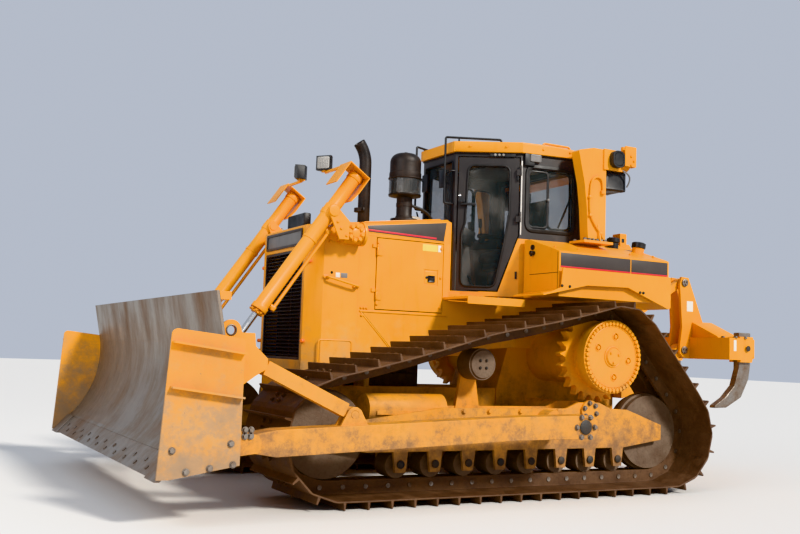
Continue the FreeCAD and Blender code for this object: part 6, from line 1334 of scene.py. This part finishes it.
def addLiftDetail():
    down = Vector(lift["down"])
    for side, hand in ((1, "left"), (-1, "right")):
        body = "lift_cylinder_" + hand
        barrel = lift["barrel"]
        bands = [rod("barrel_band", liftSpot(side, along), liftSpot(side, along + 0.022), barrel + 0.006, 36, 0.04, 0.02)
                 for along in (0.30, 1.035)]
        finishPiece(joined("barrel_bands_" + hand, bands), "yellow", body)
        gland = []
        for number in range(8):
            angle = math.radians(45 * number + 20)
            spot = liftSpot(side, lift["gland"] + 0.012, 0.058 * math.cos(angle), 0.058 * math.sin(angle))
            gland.append(Matrix.Translation(at(*spot)) @ down.to_track_quat("Z", "Y").to_matrix().to_4x4())
        finishPiece(copies("gland_bolts_" + hand, smallBolt, gland), "yellow", body)
        wiper = rod("gland_wiper_" + hand, liftSpot(side, lift["gland"] + 0.008), liftSpot(side, lift["gland"] + 0.030), 0.047, 32, 0.12, 0.06)
        finishPiece(wiper, "yellow", body)
        pinCap = rod("trunnion_cap", (lift["x"], side * 0.8165, lift["z"]), (lift["x"], side * 0.8195, lift["z"]), 0.048, 32, 0.2, 0.04)
        finishPiece(joined("trunnion_cap_" + hand, [pinCap]), "yellow", body)
        flange = ringOf(8, 0.062, (2.2519, side * 0.7852, 2.2374), side, 10)
        finishPiece(copies("yoke_bolts_" + hand, largeBolt, flange), "yellow")
        cap = rod("yoke_cap_" + hand, (2.2519, side * 0.780, 2.2374), (2.2519, side * 0.793, 2.2374), 0.040, 28, 0.25, 0.1)
        finishPiece(cap, "yellow")
        cheek = [facing((x, side * 0.809, z), (0, side, 0), 15) for x, z in ((2.405, 2.262), (2.440, 2.318), (2.352, 2.205))]
        finishPiece(copies("cheek_bolts_" + hand, smallBolt, cheek), "yellow")
        elbow = pipe("lift_elbow", [at(*liftSpot(side, 0.10, -0.055, -0.02)), at(*liftSpot(side, 0.10, -0.095, -0.02)), at(*liftSpot(side, 0.02, -0.105, -0.03)),
                                    at(*liftSpot(side, -0.03, -0.105, -0.05))], 0.013, smooth=True)
        nut = rod("elbow_nut", liftSpot(side, -0.02, -0.105, -0.047), liftSpot(side, -0.06, -0.105, -0.058), 0.019, 6, 0.2, 0.1)
        finishPiece(joined("lift_elbow_" + hand, [elbow, nut]), "fitting", body)
        keeper = rod("rod_pin_cap_" + hand, (3.458, side * 0.772, 1.0), (3.458, side * 0.790, 1.0), 0.040, 28, 0.25, 0.1)
        finishPiece(keeper, "worn", "blade")
        eye = ringOf(4, 0.034, (3.458, side * 0.7885, 1.0), side, 45)
        finishPiece(copies("rod_pin_bolts_" + hand, smallBolt, eye), "worn", "blade")


addLiftDetail()
print("lift cylinders done")


# blade: plow bolts along the cutting edge and corner bits, wear plates and brace pins

bladeLook = {"edge": (4.1291, 0.40), "normal": (0.71, 0, 0.704), "pitch": 0.165, "half": 1.93, "drop": 0.037}


def addBladeDetail():
    plow = rod("plow_bolt", (originX, 0, -0.002), (originX, 0, 0.006), 0.018, 12, 0.35, -0.12)
    places = []
    count = int(2 * bladeLook["half"] / bladeLook["pitch"]) + 1
    for number in range(count):
        y = -bladeLook["half"] + 0.02 + number * (2 * bladeLook["half"] - 0.04) / (count - 1)
        x, z = bladeLook["edge"]
        shift = bladeLook["drop"] if number % 2 else 0
        places.append(facing((x + shift, y, z - shift), bladeLook["normal"], 0))
    finishPiece(copies("edge_bolts", plow, places), "worn", "blade")
    dropModel(plow)
    for side, hand in ((1, "left"), (-1, "right")):
        wear = [facing((x, side * 2.005, z), (0, side, 0), 12) for x, z in ((3.70, 0.42), (3.86, 0.40), (4.02, 0.38), (3.72, 0.56), (4.12, 0.52))]
        finishPiece(copies("end_plate_bolts_" + hand, largeBolt, wear), "worn", "blade")
        lug = ringOf(4, 0.030, (3.56, side * 1.890, 0.62), side, 45)
        finishPiece(copies("arm_joint_bolts_" + hand, largeBolt, lug), "worn", "blade")
        bush = pipe("ear_bush_" + hand, [at(3.700 + 0.036 * math.cos(math.radians(15 * step)), side * 1.8425, 1.327 + 0.036 * math.sin(math.radians(15 * step)))
                                         for step in range(24)], 0.006, closed=True)
        finishPiece(bush, "worn", "blade")


addBladeDetail()


# ripper: pin caps, cylinder glands and hoses, shank pins and worn points

ripperLook = {"lower": (-1.900, 1.352), "upper": (-1.900, 2.088), "face": 0.541, "shanks": (-1.005, 0.0, 1.005)}


def addRipperDetail():
    for side, hand in ((1, "left"), (-1, "right")):
        for name, (x, z), body in (("lower", ripperLook["lower"], "ripper_link"), ("upper", ripperLook["upper"], "ripper_stays")):
            face = side * ripperLook["face"]
            cap = rod("ripper_pin_%s_%s" % (name, hand), (x, face - side * 0.006, z), (x, face + side * 0.010, z), 0.042, 28, 0.25, 0.1)
            finishPiece(cap, "worn", body)
            finishPiece(copies("ripper_pin_bolts_%s_%s" % (name, hand), smallBolt, ringOf(3, 0.022, (x, face + side * 0.012, z), side, 30)), "worn", body)
    keepers = []
    for y in ripperLook["shanks"]:
        for way in (-1, 1):
            keepers.append(facing((-2.24, y + way * 0.072, 1.4905), (0, 0, 1), 20))
            keepers.append(facing((-2.08, y + way * 0.085, 1.4905), (0, 0, 1), 20))
    finishPiece(copies("shank_keepers", largeBolt, keepers), "worn", "ripper_carriage")
    for side, hand in ((1, "left"), (-1, "right")):
        eye = pipe("lifting_eye", [at(-2.245 + 0.03 * math.cos(math.radians(20 * step)), side * 1.03, 1.506 + 0.03 * math.sin(math.radians(20 * step)))
                                   for step in range(18)], 0.008, closed=True)
        pin = rod("beam_pin", (-2.265, side * 1.094, 1.385), (-2.265, side * 1.0995, 1.385), 0.030, 24, 0.25, -0.1)
        finishPiece(joined("beam_end_" + hand, [eye, pin]), "castIron", "ripper_carriage")


addRipperDetail()

# ripper beam's webs, sloping from the towers to the beam's ends, and the blank plates on towers and ends

ripperWeb = {"rear": -2.330, "thick": 0.315, "line": ((0.530, 1.484), (0.530, 1.665), (0.900, 1.510), (0.915, 1.484)),
             "tower": (-1.935, -2.030, 1.775, 1.890), "towerFace": 0.5352, "end": (-2.040, -2.082, 1.352, 1.470), "endFace": 1.1002}


def addRipperWebs():
    front = facePlane((ripperWeb["rear"], 0, 0), (0, 1, 0), (0, 0, 1))
    for side, hand in ((1, "left"), (-1, "right")):
        web = plate("ripper_web_" + hand, [[(side * y, z) for y, z in ripperWeb["line"]]], front, ripperWeb["thick"], 0.010)
        finishPiece(web, "yellow", "ripper_carriage")
        for name in ("tower", "end"):
            near, far, low, high = ripperWeb[name]
            corners = roundedOutline([(-side * x, z) for x, z in ((near, low), (near, high), (far, high), (far, low))], 0.008, 3)
            patch = plate("ripper_%s_label_%s" % (name, hand), [corners], sidePlane(side, ripperWeb[name + "Face"]), 0.0016, 0.0004)
            finishPiece(patch, "white", "ripper_carriage")


addRipperWebs()
print("blade and ripper done")


# operator's seat: cushion and back as padded cloth over a moulded shell

seatLook = {"cushion": ((-0.185, -0.235, 2.195), (0.325, 0.235, 2.285)), "back": ((-0.175, -0.225, 2.30), (-0.085, 0.225, 2.86)),
            "voxel": 0.006, "pressure": 4.0, "frames": 20, "cap": 0.024, "lean": -7}


def puffed(item):
    # remeshed evenly and blown up a little as cloth, each point held to a short way
    makeActive(item)
    remesh = item.modifiers.new("remesh", "REMESH")
    remesh.mode = "VOXEL"
    remesh.voxel_size = seatLook["voxel"]
    bpy.ops.object.modifier_apply(modifier="remesh")
    before = [point.co.copy() for point in item.data.vertices]
    cloth = item.modifiers.new("cloth", "CLOTH")
    cloth.settings.use_pressure = True
    cloth.settings.uniform_pressure_force = seatLook["pressure"]
    cloth.settings.effector_weights.gravity = 0
    for number in range(1, seatLook["frames"] + 1):
        bpy.context.scene.frame_set(number)
    makeActive(item)
    bpy.ops.object.modifier_apply(modifier="cloth")
    bpy.context.scene.frame_set(1)
    for point, start in zip(item.data.vertices, before):
        move = point.co - start
        if move.length > seatLook["cap"]:
            point.co = start + move.normalized() * seatLook["cap"]
    return item


def addSeat():
    parts = []
    for name, (low, high), lean in (("seat_cushion", seatLook["cushion"], 3), ("seat_back", seatLook["back"], seatLook["lean"])):
        pad = block(name, low, high, 0.028)
        makeActive(pad)
        bpy.ops.object.mode_set(mode="EDIT")
        bpy.ops.mesh.select_all(action="SELECT")
        bpy.ops.mesh.subdivide(number_cuts=2)
        leaveEdit()
        puffed(pad)
        pad.modifiers.new("smooth", "SUBSURF").levels = 1
        pad.modifiers["smooth"].render_levels = 1
        turned(pad, lean, (0, 1, 0), ((low[0] + high[0]) / 2, 0, low[2]))
        finishPiece(pad, "fabric")
        parts.append(pad)
    shell = block("seat_shell", (-0.20, -0.215, 2.25), (-0.165, 0.215, 2.88), 0.012)
    turned(shell, seatLook["lean"], (0, 1, 0), (-0.13, 0, 2.30))
    base = block("seat_base", (-0.13, -0.20, 2.10), (0.28, 0.20, 2.19), 0.02)
    column = block("seat_column", (-0.10, -0.17, 1.822), (0.24, 0.17, 2.105), 0.02)
    pickFaces(column, lambda middle, normal: abs(normal.y) > 0.9)
    bpy.ops.mesh.inset(thickness=0.03, depth=-0.012, use_individual=True)
    leaveEdit()
    stand = finishPiece(joined("seat_stand", [shell, base, column]), "black")
    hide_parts("operator_seat")


addSeat()
print("seat done")

for model in (smallBolt, largeBolt):
    dropModel(model)
